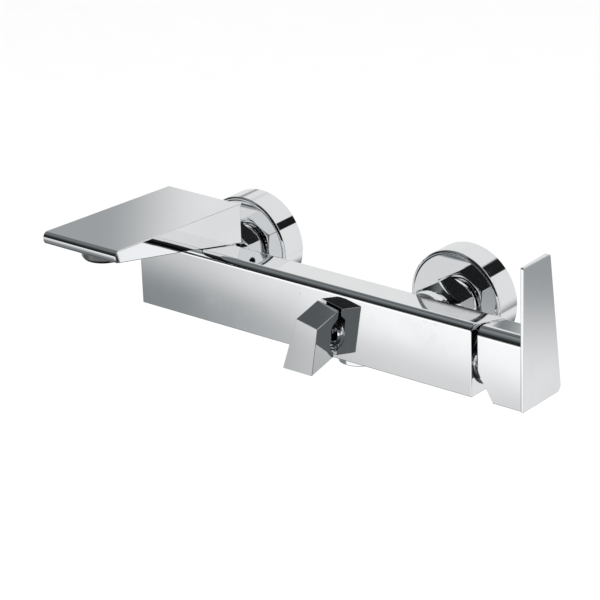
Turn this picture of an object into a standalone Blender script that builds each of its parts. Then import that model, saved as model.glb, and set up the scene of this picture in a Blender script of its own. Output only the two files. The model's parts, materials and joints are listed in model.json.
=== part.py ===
"""Wall mounted bath faucet: a hollow bar with a wedge spout, a lever handle on its right end and a faceted
diverter knob. The origin is on the wall, midway between the inlets, at inlet height. +X runs along the bar to
the user's right, +Y goes into the wall and +Z is up. Sizes are in millimetres; MM turns them into metres."""

import math

import bmesh
import bpy
from mathutils import Matrix, Vector

MM = 0.001
GAP = 0.3  # clearance between pieces that touch

# Wall side
INLET_SPACING = 150.0
WALL_FLANGE_RADIUS = 30.0
WALL_FLANGE_DEPTH = 17.0
WALL_FLANGE_SKIN = 1.2
WALL_THREAD_RADIUS = 10.4
WALL_THREAD_LENGTH = 22.0
WALL_OFFSET = 4.5  # eccentric throw
UNION_THREAD_RADIUS = 13.1
NUT_WALL = 1.9  # under the flats, outside the thread
NUT_LENGTH = 15.5
NUT_STANDOFF = 3.0  # bare thread between wall flange and nut
NUT_LIP = 2.3
TAIL_NECK = 3.7  # bare tail between nut and bar
INLET_BORE = 7.5

# Bar
LEFT_OVERHANG = 26.0
RIGHT_OVERHANG = 54.5
BAR_DEPTH = 35.7
BAR_HEIGHT = 42.0
BAR_TOP_SLOPE = 0.22  # fall of the top towards the wall
BAR_FRONT_FILLET = 4.0
BAR_BACK_FILLET = 10.0
BAR_WALL = 3.0
INLET_BOSS_RADIUS = 14.5
INLET_BOSS_HEIGHT = 3.3

# Spout
SPOUT_REACH = 68.0  # from the bar's front face to the nose
SPOUT_WIDTH = 53.5
SPOUT_LEFT_OVERHANG = 9.0
SPOUT_BACK_HEIGHT = 24.0
SPOUT_RISE = 0.05  # rise of the top towards the nose
SPOUT_WALL = 2.5
NOSE_RADIUS = 3.2
AERATOR_RADIUS = 13.0
AERATOR_SETBACK = 20.5
AERATOR_DROP = 4.0
SPOUT_NIPPLE_RADIUS = 7.5

# Handle
HANDLE_GAP = 3.7
HUB_LENGTH = 27.2
LEVER_THICKNESS = 2.0
LEVER_TAPER = 1.4  # how much thicker the lever is at its back edge
LEVER_HEIGHT = 38.5  # above the bar's front top edge
LEVER_TOP_WIDTH = 24.8
HUB_FRONT_FILLET = 5.5
LEVER_TILT = 20.0
STEM_HALF = 3.0

# Diverter
DIVERTER_X = 34.0
DIVERTER_FLOOR = 4.0  # metal left under the diverter's chamber
DIVERTER_RADIUS = 11.5
KNOB_DEPTH = 18.0
OUTLET_X = 42.2
OUTLET_RADIUS = 12.8
OUTLET_DROP = 5.0

# Worked-out values
WALL_TO_BAR = WALL_FLANGE_DEPTH + NUT_STANDOFF + NUT_LENGTH + TAIL_NECK + INLET_BOSS_HEIGHT
BAR_BACK = -WALL_TO_BAR
BAR_FRONT = BAR_BACK - BAR_DEPTH
BAR_MID = (BAR_BACK + BAR_FRONT) / 2
BAR_BOTTOM = -BAR_HEIGHT * 20 / 42
BAR_TOP = BAR_BOTTOM + BAR_HEIGHT
BAR_LEFT = -INLET_SPACING / 2 - LEFT_OVERHANG
BAR_RIGHT = INLET_SPACING / 2 + RIGHT_OVERHANG
SLOPE_ANGLE = math.atan(BAR_TOP_SLOPE)

NUT_ACROSS_FLATS = 2 * (UNION_THREAD_RADIUS + NUT_WALL)
NUT_BACK = -(WALL_FLANGE_DEPTH + NUT_STANDOFF)
NUT_FRONT = NUT_BACK - NUT_LENGTH
TAIL_COLLAR_BACK = NUT_FRONT + NUT_LIP + GAP + 2.7
UNION_FACE = TAIL_COLLAR_BACK + 2 * GAP + 1.6
TAIL_RADIUS = UNION_THREAD_RADIUS - 2.3
BOSS_FACE = BAR_BACK + INLET_BOSS_HEIGHT
TAIL_SOCKET = BAR_BACK - 2.0

REAR_DUCT_DEPTH = 0.24 * BAR_DEPTH
REAR_DUCT_BACK = BAR_BACK - BAR_WALL - 1.0
REAR_DUCT_FRONT = REAR_DUCT_BACK - REAR_DUCT_DEPTH
FRONT_DUCT_BACK = REAR_DUCT_FRONT - 2.4
FRONT_DUCT_FRONT = BAR_FRONT + BAR_WALL


def bar_top_at(y):
    return BAR_TOP - BAR_TOP_SLOPE * (y - BAR_FRONT)


FRONT_DUCT_TOP = bar_top_at(FRONT_DUCT_BACK) - BAR_WALL
DUCT_FLOOR = BAR_BOTTOM + BAR_WALL

IN_RADIUS = min(BAR_DEPTH / 2, (bar_top_at(BAR_MID) - BAR_BOTTOM) / 2)
AXIS_Y = BAR_MID
AXIS_Z = (bar_top_at(BAR_MID) + BAR_BOTTOM) / 2 - 0.25
NUT_BORE = IN_RADIUS - BAR_WALL + 0.6
CART_BORE = NUT_BORE - 1.9
CART_RADIUS = CART_BORE - GAP
CART_BASE = INLET_SPACING / 2 + INLET_BORE + 9.5
COLLAR_SEAT = BAR_RIGHT - 2.2
NUT_RING_LENGTH = 0.24 * (BAR_RIGHT - CART_BASE)
CART_TOP = COLLAR_SEAT - GAP - NUT_RING_LENGTH - GAP
CART_UNIT = (CART_TOP - CART_BASE) / 26

SEAL_X = (CART_BASE + GAP, CART_BASE + GAP + 1.2 * CART_UNIT)
CART_PLATE_X = (SEAL_X[1] + GAP, SEAL_X[1] + GAP + 3.4 * CART_UNIT)
FIXED_X = (CART_PLATE_X[1] + GAP, CART_PLATE_X[1] + GAP + 3.0 * CART_UNIT)
MOVING_X = (FIXED_X[1] + GAP, FIXED_X[1] + GAP + 3.0 * CART_UNIT)
CARRIER_X = (MOVING_X[1] + GAP, MOVING_X[1] + GAP + 3.8 * CART_UNIT)
GUIDE_FLANGE_X = (CARRIER_X[1] + GAP, CARRIER_X[1] + GAP + 2.4 * CART_UNIT)
PIVOT_X = GUIDE_FLANGE_X[1] + 3.2 * CART_UNIT
TILT = math.tan(math.radians(LEVER_TILT))
HOUSING_INNER = CART_RADIUS - 2.2
GUIDE_RADIUS = HOUSING_INNER - 2.3
TIP_X = (CARRIER_X[0] + 0.8 * CART_UNIT + GAP, CARRIER_X[1])
DISC_TRAVEL = (PIVOT_X - (TIP_X[0] + TIP_X[1]) / 2) * TILT
CARRIER_RADIUS = HOUSING_INNER - GAP - DISC_TRAVEL
TIP_RADIUS = STEM_HALF - 0.4


def swing(half, x):
    """How far a corner of the stem at x moves towards the discs when the lever is fully tilted."""
    tilt = math.atan(TILT)
    return half * math.sin(tilt) - (PIVOT_X - x) * (1 - math.cos(tilt))


TIP_START = TIP_X[0] + swing(TIP_RADIUS, TIP_X[0])
SHOULDER_X = TIP_X[1] + GAP + swing(STEM_HALF, TIP_X[1])
PORT_RADIUS = 0.26 * CARRIER_RADIUS
PORT_SIDE = 0.5 * CARRIER_RADIUS
PORT_RISE = 0.36 * CARRIER_RADIUS
MIXED_DROP = 0.58 * CARRIER_RADIUS

HUB_LEFT = BAR_RIGHT + HANDLE_GAP
HUB_RIGHT = HUB_LEFT + HUB_LENGTH
LEVER_OUTER = HUB_RIGHT + LEVER_THICKNESS
LEVER_TOP = BAR_TOP + LEVER_HEIGHT
LEVER_FOOT = BAR_BOTTOM - 0.3
LEVER_BACK_LOW = BAR_BACK - 0.4
LEVER_BACK_HIGH = BAR_FRONT + LEVER_TOP_WIDTH
HUB_BORE = IN_RADIUS - 5.4
STEM_END = HUB_RIGHT - 6.0

SPOUT_LEFT = BAR_LEFT - SPOUT_LEFT_OVERHANG
SPOUT_RIGHT = SPOUT_LEFT + SPOUT_WIDTH
SPOUT_MID = (SPOUT_LEFT + SPOUT_RIGHT) / 2
SPOUT_BACK = BAR_BACK + 1.5
SPOUT_NOSE = BAR_FRONT - SPOUT_REACH
SPOUT_BACK_TOP = bar_top_at(SPOUT_BACK) + SPOUT_BACK_HEIGHT
NIPPLE_Y = (FRONT_DUCT_BACK + FRONT_DUCT_FRONT) / 2
NIPPLE_FOOT = (SPOUT_MID, NIPPLE_Y, bar_top_at(NIPPLE_Y))
AERATOR_Y = SPOUT_NOSE + AERATOR_SETBACK


def spout_top_at(y):
    return SPOUT_BACK_TOP + SPOUT_RISE * (SPOUT_BACK - y)


AERATOR_FLOOR = bar_top_at(AERATOR_Y) - AERATOR_DROP
AERATOR_CEILING = spout_top_at(AERATOR_Y) - SPOUT_WALL - 1.8

DIVERTER_Z = BAR_BOTTOM + DIVERTER_FLOOR + DIVERTER_RADIUS
DIVERTER_END = FRONT_DUCT_BACK
OUTLET_SEAT = BAR_BOTTOM + DIVERTER_FLOOR - 1.0
BONNET_FACE = BAR_FRONT - 2.2
KNOB_BACK = BAR_FRONT - 1.5
KNOB_FRONT = KNOB_BACK - KNOB_DEPTH


# ---------------------------------------------------------------- helpers


def clear_scene():
    for old in list(bpy.data.objects):
        bpy.data.objects.remove(old, do_unlink=True)


def material(name, color, metallic, roughness):
    made = bpy.data.materials.new(name)
    made.use_nodes = True
    shader = made.node_tree.nodes["Principled BSDF"]
    shader.inputs["Base Color"].default_value = (*color, 1.0)
    shader.inputs["Metallic"].default_value = metallic
    shader.inputs["Roughness"].default_value = roughness
    made.diffuse_color = (*color, 1.0)
    return made


def place(bm, axis, origin):
    """Turns a shape made along +Z onto an axis, moves it to its origin and scales it to metres."""
    turn = Vector((0, 0, 1)).rotation_difference(Vector(axis)).to_matrix().to_4x4()
    bm.transform(Matrix.Scale(MM, 4) @ Matrix.Translation(Vector(origin)) @ turn)


def to_object(bm, name):
    bmesh.ops.remove_doubles(bm, verts=bm.verts, dist=1e-7)
    bmesh.ops.recalc_face_normals(bm, faces=bm.faces)
    mesh = bpy.data.meshes.new(name)
    bm.to_mesh(mesh)
    bm.free()
    made = bpy.data.objects.new(name, mesh)
    bpy.context.scene.collection.objects.link(made)
    return made


def soften(bm, size, segments):
    """Rounds every edge sharper than 35 degrees."""
    if size <= 0:
        return
    bmesh.ops.recalc_face_normals(bm, faces=bm.faces)
    sharp = [e for e in bm.edges if e.calc_face_angle(0) > math.radians(35)]
    bmesh.ops.bevel(bm, geom=sharp, offset=size * MM, segments=segments, profile=0.5, affect="EDGES")


def turned(name, profile, axis, origin, segments=28):
    """A turned solid: profile lists (radius, height) in order round the section."""
    bm = bmesh.new()
    rings = []
    for radius, height in profile:
        if radius <= 1e-6:
            rings.append([bm.verts.new((0, 0, height))])
            continue
        steps = [2 * math.pi * k / segments for k in range(segments)]
        rings.append([bm.verts.new((radius * math.cos(a), radius * math.sin(a), height)) for a in steps])
    for low, high in zip(rings, rings[1:] + rings[:1]):
        for k in range(segments):
            n = (k + 1) % segments
            corners = [low[k % len(low)], low[n % len(low)], high[n % len(high)], high[k % len(high)]]
            unique = list(dict.fromkeys(corners))
            if len(unique) > 2:
                bm.faces.new(unique)
    place(bm, axis, origin)
    return to_object(bm, name)


def rod(name, radius, start, end, axis, origin, segments=20):
    profile = [(0, start), (radius, start), (radius, end), (0, end)]
    return turned(name, profile, axis, origin, segments)


def ring(name, inner, outer, start, end, axis, origin, segments=28):
    profile = [(inner, start), (outer, start), (outer, end), (inner, end)]
    return turned(name, profile, axis, origin, segments)


def torus(name, major, minor, height, axis, origin, segments=24, around=6):
    steps = [2 * math.pi * k / around for k in range(around)]
    profile = [(major + minor * math.cos(a), height + minor * math.sin(a)) for a in steps]
    return turned(name, profile, axis, origin, segments)


def prism(name, outline, axis, start, end, edge=0.0, edge_segments=2):
    """Extrudes an outline along X (points are y, z), Y (x, z) or Z (x, y)."""
    bm = bmesh.new()
    spots = {"X": lambda a, b, c: (c, a, b), "Y": lambda a, b, c: (a, c, b), "Z": lambda a, b, c: (a, b, c)}
    low = [bm.verts.new(spots[axis](a, b, start)) for a, b in outline]
    high = [bm.verts.new(spots[axis](a, b, end)) for a, b in outline]
    bm.faces.new(low)
    bm.faces.new(high)
    for k in range(len(outline)):
        n = (k + 1) % len(outline)
        bm.faces.new((low[k], low[n], high[n], high[k]))
    bm.transform(Matrix.Scale(MM, 4))
    soften(bm, edge, edge_segments)
    return to_object(bm, name)


def block(name, xs, ys, zs, edge=0.0):
    outline = [(xs[0], ys[0]), (xs[1], ys[0]), (xs[1], ys[1]), (xs[0], ys[1])]
    return prism(name, outline, "Z", zs[0], zs[1], edge)


def hull_of(name, points, edge=0.0):
    """The convex solid round a few corner points."""
    bm = bmesh.new()
    for point in points:
        bm.verts.new(Vector(point) * MM)
    bmesh.ops.convex_hull(bm, input=bm.verts)
    bmesh.ops.dissolve_limit(bm, angle_limit=math.radians(0.5), verts=bm.verts, edges=bm.edges)
    soften(bm, edge, 2)
    return to_object(bm, name)


def rounded(points, radii, steps=6):
    """An outline whose corners are replaced by arcs; a radius of 0 keeps the corner."""
    made = []
    count = len(points)
    for k, (point, radius) in enumerate(zip(points, radii)):
        here = Vector(point)
        if radius <= 0:
            made.append(tuple(here))
            continue
        back = (Vector(points[k - 1]) - here).normalized()
        ahead = (Vector(points[(k + 1) % count]) - here).normalized()
        half = back.angle(ahead) / 2
        centre = here + (back + ahead).normalized() * radius / math.sin(half)
        first = here + back * radius / math.tan(half) - centre
        last = here + ahead * radius / math.tan(half) - centre
        sweep = first.angle_signed(last)
        for step in range(steps + 1):
            turn = Matrix.Rotation(-sweep * step / steps, 2)
            made.append(tuple(centre + turn @ first))
    return made


def combine(target, tools, operation):
    """Adds or removes other solids one by one, and leaves one clean mesh behind."""
    for tool in tools:
        step = target.modifiers.new(tool.name, "BOOLEAN")
        step.solver = "EXACT"
        step.operation = operation
        step.object = tool
        bpy.context.view_layer.update()
        graph = bpy.context.evaluated_depsgraph_get()
        mesh = bpy.data.meshes.new_from_object(target.evaluated_get(graph))
        target.modifiers.clear()
        bm = bmesh.new()
        bm.from_mesh(mesh)
        bmesh.ops.remove_doubles(bm, verts=bm.verts, dist=2e-6)
        bmesh.ops.dissolve_degenerate(bm, edges=bm.edges, dist=2e-6)
        bm.to_mesh(mesh)
        bm.free()
        target.data = mesh
        bpy.data.objects.remove(tool, do_unlink=True)
    return target


def cut(target, *tools):
    return combine(target, tools, "DIFFERENCE")


def join(target, *tools):
    return combine(target, tools, "UNION")


def finish(made, look):
    """Gives the piece its material, and shades it smooth except at its real edges."""
    mesh = made.data
    mesh.materials.clear()
    mesh.materials.append(look)
    bm = bmesh.new()
    bm.from_mesh(mesh)
    for face in bm.faces:
        face.smooth = True
        face.material_index = 0
    for edge in bm.edges:
        edge.smooth = edge.calc_face_angle(0) < math.radians(32)
    bm.to_mesh(mesh)
    bm.free()
    return made


def parent_on(empty_name, location, pieces):
    """An empty on a joint axis that carries the pieces which turn about it."""
    empty = bpy.data.objects.new(empty_name, None)
    bpy.context.scene.collection.objects.link(empty)
    empty.location = Vector(location) * MM
    empty.empty_display_size = 0.02
    bpy.context.view_layer.update()
    for piece in pieces:
        piece.parent = empty
        piece.matrix_parent_inverse = empty.matrix_world.inverted()
    return empty


def hexagon(across_flats, turn=0.0):
    radius = across_flats / math.sqrt(3)
    steps = [turn + math.pi * k / 3 for k in range(6)]
    return [(radius * math.cos(a), radius * math.sin(a)) for a in steps]


def socket_screw(name, radius, length, key, axis, origin, look):
    """A headless screw with a hexagon socket in its near end; axis points out of the socket."""
    body = turned(name, [(0, -length), (radius - 0.4, -length), (radius, -length + 0.5), (radius, -0.4),
                         (radius - 0.4, 0), (0, 0)], axis, origin, 14)
    bm = bmesh.new()
    low = [bm.verts.new((x, y, -0.55 * length)) for x, y in hexagon(key)]
    high = [bm.verts.new((x, y, 1.0)) for x, y in hexagon(key)]
    bm.faces.new(low)
    bm.faces.new(high)
    for k in range(6):
        bm.faces.new((low[k], low[(k + 1) % 6], high[(k + 1) % 6], high[k]))
    place(bm, axis, origin)
    return finish(cut(body, to_object(bm, name + "_key")), look)


# ---------------------------------------------------------------- wall side


def wall_side(side, x, chrome, rubber, steel):
    def spot(z=0.0):
        return (x, 0, z)

    toward_wall = (0, 1, 0)
    hole = UNION_THREAD_RADIUS + 0.5
    outer = WALL_FLANGE_RADIUS
    skin = WALL_FLANGE_SKIN
    depth = WALL_FLANGE_DEPTH
    lip = 0.9
    profile = [(hole, -depth + 0.5), (outer - 2.2, -depth + 0.5), (outer - 1.6, -depth), (outer - lip, -depth),
               (outer - 0.3, -depth + 0.25), (outer, -depth + lip), (outer, 0), (outer - skin, 0),
               (outer - skin, -depth + 0.5 + skin), (hole, -depth + 0.5 + skin)]
    finish(turned(side + "_flange", profile, toward_wall, spot(), 48), chrome)
    finish(ring(side + "_flange_seal", outer - skin - 2.2, outer - skin - GAP, -3.2, -0.2, toward_wall,
                spot(), 24), rubber)
    eccentric(side, x, chrome)
    union_nut(side, x, chrome)
    inlet_nipple(side, x, chrome)
    gasket = ring(side + "_inlet_gasket", TAIL_RADIUS - 1.3, UNION_THREAD_RADIUS - 0.5,
                  TAIL_COLLAR_BACK + GAP, UNION_FACE - GAP, toward_wall, spot(), 24)
    finish(gasket, rubber)
    strainer(side, x, steel)


def thread_profile(radius, start, end, pitch, depth=0.9):
    """Ridges of a pipe thread from start to end, as (radius, height) points."""
    count = max(2, int(abs(end - start) / pitch))
    step = (end - start) / count
    points = []
    for k in range(count):
        points.append((radius - depth, start + k * step))
        points.append((radius, start + (k + 0.5) * step))
    points.append((radius - depth, end))
    return points


def eccentric(side, x, look):
    front = UNION_THREAD_RADIUS
    neck_end = -(WALL_FLANGE_DEPTH + NUT_STANDOFF) + 1.5
    profile = [(0, UNION_FACE), (front - 1.2, UNION_FACE)]
    profile += thread_profile(front, UNION_FACE + 0.6, neck_end, 2.8)[1:]
    profile += [(front - 0.2, neck_end + 0.5), (front - 0.2, -3.0), (0, -3.0)]
    body = turned(side + "_eccentric", profile, (0, 1, 0), (x, 0, 0), 24)
    back = WALL_THREAD_RADIUS
    profile = [(0, -8.0), (back - 0.6, -8.0), (back - 0.6, 1.0)]
    profile += thread_profile(back, 2.0, WALL_THREAD_LENGTH - 0.6, 4.0)
    profile += [(back - 1.2, WALL_THREAD_LENGTH), (0, WALL_THREAD_LENGTH)]
    join(body, turned("wall_thread", profile, (0, 1, 0), (x, 0, -WALL_OFFSET), 24))
    bores = [rod("front_bore", front - 4.1, UNION_FACE - 5, -6.2, (0, 1, 0), (x, 0, 0), 20),
             rod("back_bore", back - 3.6, -10.0, WALL_THREAD_LENGTH + 5, (0, 1, 0), (x, 0, -WALL_OFFSET), 20)]
    finish(cut(body, *bores), look)


def union_nut(side, x, look):
    radius = NUT_ACROSS_FLATS / math.sqrt(3)
    bm = bmesh.new()
    outline = hexagon(NUT_ACROSS_FLATS, math.pi / 6)
    low = [bm.verts.new((a, b, NUT_FRONT)) for a, b in outline]
    high = [bm.verts.new((a, b, NUT_BACK)) for a, b in outline]
    bm.faces.new(low)
    bm.faces.new(high)
    for k in range(6):
        bm.faces.new((low[k], low[(k + 1) % 6], high[(k + 1) % 6], high[k]))
    place(bm, (0, 1, 0), (x, 0, 0))
    nut = to_object(bm, side + "_union_nut")
    flat = NUT_ACROSS_FLATS / 2
    barrel = [(0, NUT_FRONT - 1), (flat - 2.0, NUT_FRONT - 1), (flat - 2.0, NUT_FRONT),
              (radius + 0.6, NUT_FRONT + 4.2), (radius + 0.6, NUT_BACK - 1.2), (flat - 0.3, NUT_BACK),
              (flat - 0.3, NUT_BACK + 1), (0, NUT_BACK + 1)]
    combine(nut, [turned("barrel", barrel, (0, 1, 0), (x, 0, 0), 30)], "INTERSECT")
    bore = UNION_THREAD_RADIUS + GAP
    hole = TAIL_RADIUS + GAP
    inside = [(0, NUT_FRONT - 3), (hole, NUT_FRONT - 3), (hole, NUT_FRONT + NUT_LIP),
              (bore, NUT_FRONT + NUT_LIP), (bore, NUT_BACK + 3), (0, NUT_BACK + 3)]
    finish(cut(nut, turned("nut_bore", inside, (0, 1, 0), (x, 0, 0), 24)), look)


def inlet_nipple(side, x, look):
    thread = TAIL_RADIUS - 1.6
    collar = UNION_THREAD_RADIUS - 0.6
    bore = TAIL_RADIUS - 3.6
    front = BOSS_FACE + GAP
    profile = [(bore, TAIL_SOCKET + GAP), (thread - 0.5, TAIL_SOCKET + GAP), (thread, TAIL_SOCKET + GAP + 0.5),
               (thread, front), (TAIL_RADIUS, front), (TAIL_RADIUS, NUT_FRONT + NUT_LIP + GAP),
               (collar, NUT_FRONT + NUT_LIP + GAP), (collar, TAIL_COLLAR_BACK), (bore, TAIL_COLLAR_BACK)]
    finish(turned(side + "_inlet_nipple", profile, (0, 1, 0), (x, 0, 0), 24), look)


def strainer(side, x, look):
    rim = UNION_THREAD_RADIUS - 4.1 - GAP
    cup = rim - 2.0
    start = UNION_FACE + 0.2
    profile = [(cup - 0.6, start), (rim, start), (rim, start + 0.8), (cup, start + 0.8), (cup - 1.2, start + 9.0),
               (0, start + 9.0), (0, start + 8.3), (cup - 1.8, start + 8.3)]
    body = turned(side + "_strainer", profile, (0, 1, 0), (x, 0, 0), 20)
    slots = []
    for k in range(3):
        angle = math.pi * (k + 0.5) / 3
        across = Vector((math.cos(angle), 0, math.sin(angle)))
        slots.append(rod("slot", 0.9, -cup * 2, cup * 2, across, (x, start + 4.6, 0), 6))
    finish(cut(body, *slots), look)


# ---------------------------------------------------------------- bar


def bar_section(fillet):
    corners = [(BAR_FRONT, BAR_BOTTOM), (BAR_BACK, BAR_BOTTOM), (BAR_BACK, bar_top_at(BAR_BACK)),
               (BAR_FRONT, BAR_TOP)]
    return rounded(corners, [0, 2.5, BAR_BACK_FILLET, fillet], 7)


def bar_body(look):
    bar = prism("bar_body", bar_section(BAR_FRONT_FILLET), "X", BAR_LEFT, BAR_RIGHT, 0.35)
    bosses = []
    cuts = []
    for x in (-INLET_SPACING / 2, INLET_SPACING / 2):
        bosses.append(rod("boss", INLET_BOSS_RADIUS, BAR_BACK - 1.5, BOSS_FACE, (0, 1, 0), (x, 0, 0), 36))
        bore = TAIL_RADIUS - 1.6 + GAP
        end = REAR_DUCT_FRONT + 0.6
        steps = [(0, end), (INLET_BORE, end), (INLET_BORE, TAIL_SOCKET), (bore, TAIL_SOCKET),
                 (bore, BOSS_FACE + 3), (0, BOSS_FACE + 3)]
        cuts.append(turned("inlet", steps, (0, 1, 0), (x, 0, 0), 24))
    join(bar, *bosses)
    cut(bar, *cuts)
    cut(bar, *cartridge_bores())
    cut(bar, *duct_cores())
    cut(bar, *diverter_bores())
    up = (0, math.sin(SLOPE_ANGLE), math.cos(SLOPE_ANGLE))
    cut(bar, rod("nipple_bore", SPOUT_NIPPLE_RADIUS + GAP, -9.0, 6.0, up, NIPPLE_FOOT, 24))
    return finish(bar, look)


def cartridge_bores():
    axis = (1, 0, 0)
    centre = (0, AXIS_Y, AXIS_Z)
    steps = [(0, CART_BASE), (CART_BORE, CART_BASE), (CART_BORE, CART_TOP), (NUT_BORE, CART_TOP),
             (NUT_BORE, BAR_RIGHT + 4), (0, BAR_RIGHT + 4)]
    chamber = turned("chamber", steps, axis, centre, 36)
    inlet = INLET_SPACING / 2
    hot = (0, AXIS_Y + PORT_SIDE, AXIS_Z + PORT_RISE)
    cold = (0, AXIS_Y - PORT_SIDE, AXIS_Z + PORT_RISE)
    mixed = (0, AXIS_Y, AXIS_Z - MIXED_DROP)
    inner = CART_BASE - 6.0
    ports = [rod("hot_port", PORT_RADIUS, inner + 0.5, CART_BASE + 1, axis, hot, 12),
             rod("cold_port", PORT_RADIUS, inlet, CART_BASE + 1, axis, cold, 12),
             rod("mixed_port", PORT_RADIUS + 0.6, DIVERTER_X, CART_BASE + 1, axis, mixed, 12)]
    riser = block("riser", (inner - 1.2, inner + 2.8), (AXIS_Y + PORT_SIDE - PORT_RADIUS + 0.3, REAR_DUCT_BACK - 0.2),
                  (DUCT_FLOOR + 1, hot[2] + 1))
    cold_cross = rod("cold_cross", PORT_RADIUS + 0.3, cold[1] - 0.7, REAR_DUCT_FRONT + 3, (0, 1, 0),
                     (inlet, 0, cold[2] + 0.2), 12)
    return [chamber, riser, cold_cross] + ports


def duct_cores():
    inlet = INLET_SPACING / 2
    rear_top = -(INLET_BORE + 2.0)
    rear = block("rear_duct", (-inlet - 12, CART_BASE - 4.5), (REAR_DUCT_FRONT, REAR_DUCT_BACK),
                 (DUCT_FLOOR, rear_top))
    drop = block("hot_drop", (-inlet - 4.5, -inlet + 4.5), (REAR_DUCT_FRONT + 1.2, REAR_DUCT_BACK - 1.2),
                 (rear_top - 2, 0))
    front = block("front_duct", (BAR_LEFT - 3, DIVERTER_X - DIVERTER_RADIUS - 6), (FRONT_DUCT_FRONT, FRONT_DUCT_BACK),
                  (DUCT_FLOOR, FRONT_DUCT_TOP))
    return [rear, drop, front]


def diverter_bores():
    chamber = rod("diverter_chamber", DIVERTER_RADIUS, BAR_FRONT - 3, DIVERTER_END, (0, 1, 0),
                  (DIVERTER_X, 0, DIVERTER_Z), 32)
    spout_port = rod("spout_port", 4.5, DIVERTER_X - DIVERTER_RADIUS - 8, DIVERTER_X - DIVERTER_RADIUS + 3,
                     (1, 0, 0), (0, (FRONT_DUCT_FRONT + FRONT_DUCT_BACK) / 2, DIVERTER_Z), 16)
    neck = OUTLET_RADIUS - 1.8 + GAP
    steps = [(0, BAR_BOTTOM - 3), (neck, BAR_BOTTOM - 3), (neck, OUTLET_SEAT), (4.3, OUTLET_SEAT),
             (4.3, DIVERTER_Z - 4), (0, DIVERTER_Z - 4)]
    outlet = turned("outlet_bore", steps, (0, 0, 1), (OUTLET_X, AXIS_Y, 0), 28)
    return [chamber, spout_port, outlet]


def left_end(chrome, rubber):
    ys = (FRONT_DUCT_FRONT + GAP, FRONT_DUCT_BACK - GAP)
    zs = (DUCT_FLOOR + GAP, FRONT_DUCT_TOP - GAP)
    plug = block("left_end_plug", (BAR_LEFT + 0.3, BAR_LEFT + 9), ys, zs, 0.3)
    outer = block("band", (BAR_LEFT + 3.5, BAR_LEFT + 6.0), (ys[0] - 2, ys[1] + 2), (zs[0] - 2, zs[1] + 2))
    inner = block("core", (BAR_LEFT + 1.5, BAR_LEFT + 8.0), (ys[0] + 1.5, ys[1] - 1.5), (zs[0] + 1.5, zs[1] - 1.5))
    cut(outer, inner)
    finish(cut(plug, outer), chrome)
    start, end = BAR_LEFT + 3.5 + GAP, BAR_LEFT + 6.0 - GAP
    seal = block("left_end_plug_seal", (start, end), ys, zs)
    hole = block("hole", (start - 1, end + 1), (ys[0] + 1.5 - GAP, ys[1] - 1.5 + GAP),
                 (zs[0] + 1.5 - GAP, zs[1] - 1.5 + GAP))
    finish(cut(seal, hole), rubber)


# ---------------------------------------------------------------- spout


def spout(chrome, brass, rubber, steel, plastic):
    lift = GAP / math.cos(SLOPE_ANGLE)
    nose_low = bar_top_at(SPOUT_NOSE) - 0.6
    corners = [(SPOUT_BACK, bar_top_at(SPOUT_BACK) + lift), (SPOUT_BACK, SPOUT_BACK_TOP),
               (SPOUT_NOSE, spout_top_at(SPOUT_NOSE)), (SPOUT_NOSE, nose_low),
               (BAR_FRONT, bar_top_at(BAR_FRONT) + lift)]
    outline = rounded(corners, [0, 0, NOSE_RADIUS, NOSE_RADIUS - 0.4, 0], 6)
    body = prism("spout_body", outline, "X", SPOUT_LEFT, SPOUT_RIGHT, 0.35)
    wall = SPOUT_WALL
    root = NIPPLE_Y + SPOUT_NIPPLE_RADIUS + 2.0
    tip = AERATOR_Y - AERATOR_RADIUS + 2
    hollow = [(root, bar_top_at(root) + lift + wall), (root, spout_top_at(root) - wall),
              (tip, spout_top_at(tip) - wall), (tip, bar_top_at(tip) + wall)]
    core = prism("core", hollow, "X", SPOUT_LEFT + wall, SPOUT_RIGHT - wall)
    seat = rod("seat", AERATOR_RADIUS + GAP, AERATOR_FLOOR - 5, AERATOR_CEILING, (0, 0, 1),
               (SPOUT_MID, AERATOR_Y, 0), 36)
    up = (0, math.sin(SLOPE_ANGLE), math.cos(SLOPE_ANGLE))
    bore = rod("bore", SPOUT_NIPPLE_RADIUS + GAP, -6.0, 8.0 + GAP, up, NIPPLE_FOOT, 24)
    groove = rod("groove", SPOUT_NIPPLE_RADIUS + 3.4, -6.0, 2.6, up, NIPPLE_FOOT, 28)
    screw_z = NIPPLE_FOOT[2] + 5.0
    screw = rod("screw_bore", 2.0 + GAP, NIPPLE_Y, SPOUT_BACK + 3, (0, 1, 0), (SPOUT_MID, 0, screw_z), 12)
    boss = rod("boss", INLET_BOSS_RADIUS + GAP, BAR_BACK - 3, BOSS_FACE + 3, (0, 1, 0), (-INLET_SPACING / 2, 0, 0), 36)
    cut(body, core, seat, boss)
    finish(cut(body, bore, groove, screw), chrome)
    inner = SPOUT_NIPPLE_RADIUS - 2.0
    nipple = ring("spout_nipple", inner, SPOUT_NIPPLE_RADIUS, -6.5, 8.0, up, NIPPLE_FOOT, 24)
    finish(nipple, brass)
    finish(torus("spout_seal", SPOUT_NIPPLE_RADIUS + 1.8, 1.1, 0.3 + 1.1, up, NIPPLE_FOOT), rubber)
    touch = NIPPLE_Y + SPOUT_NIPPLE_RADIUS + 1.9
    socket_screw("spout_lock_screw", 2.0, 6.0, 2.0, (0, 1, 0), (SPOUT_MID, touch + 6.0, screw_z), steel)
    aerator(chrome, rubber, plastic)


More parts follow.
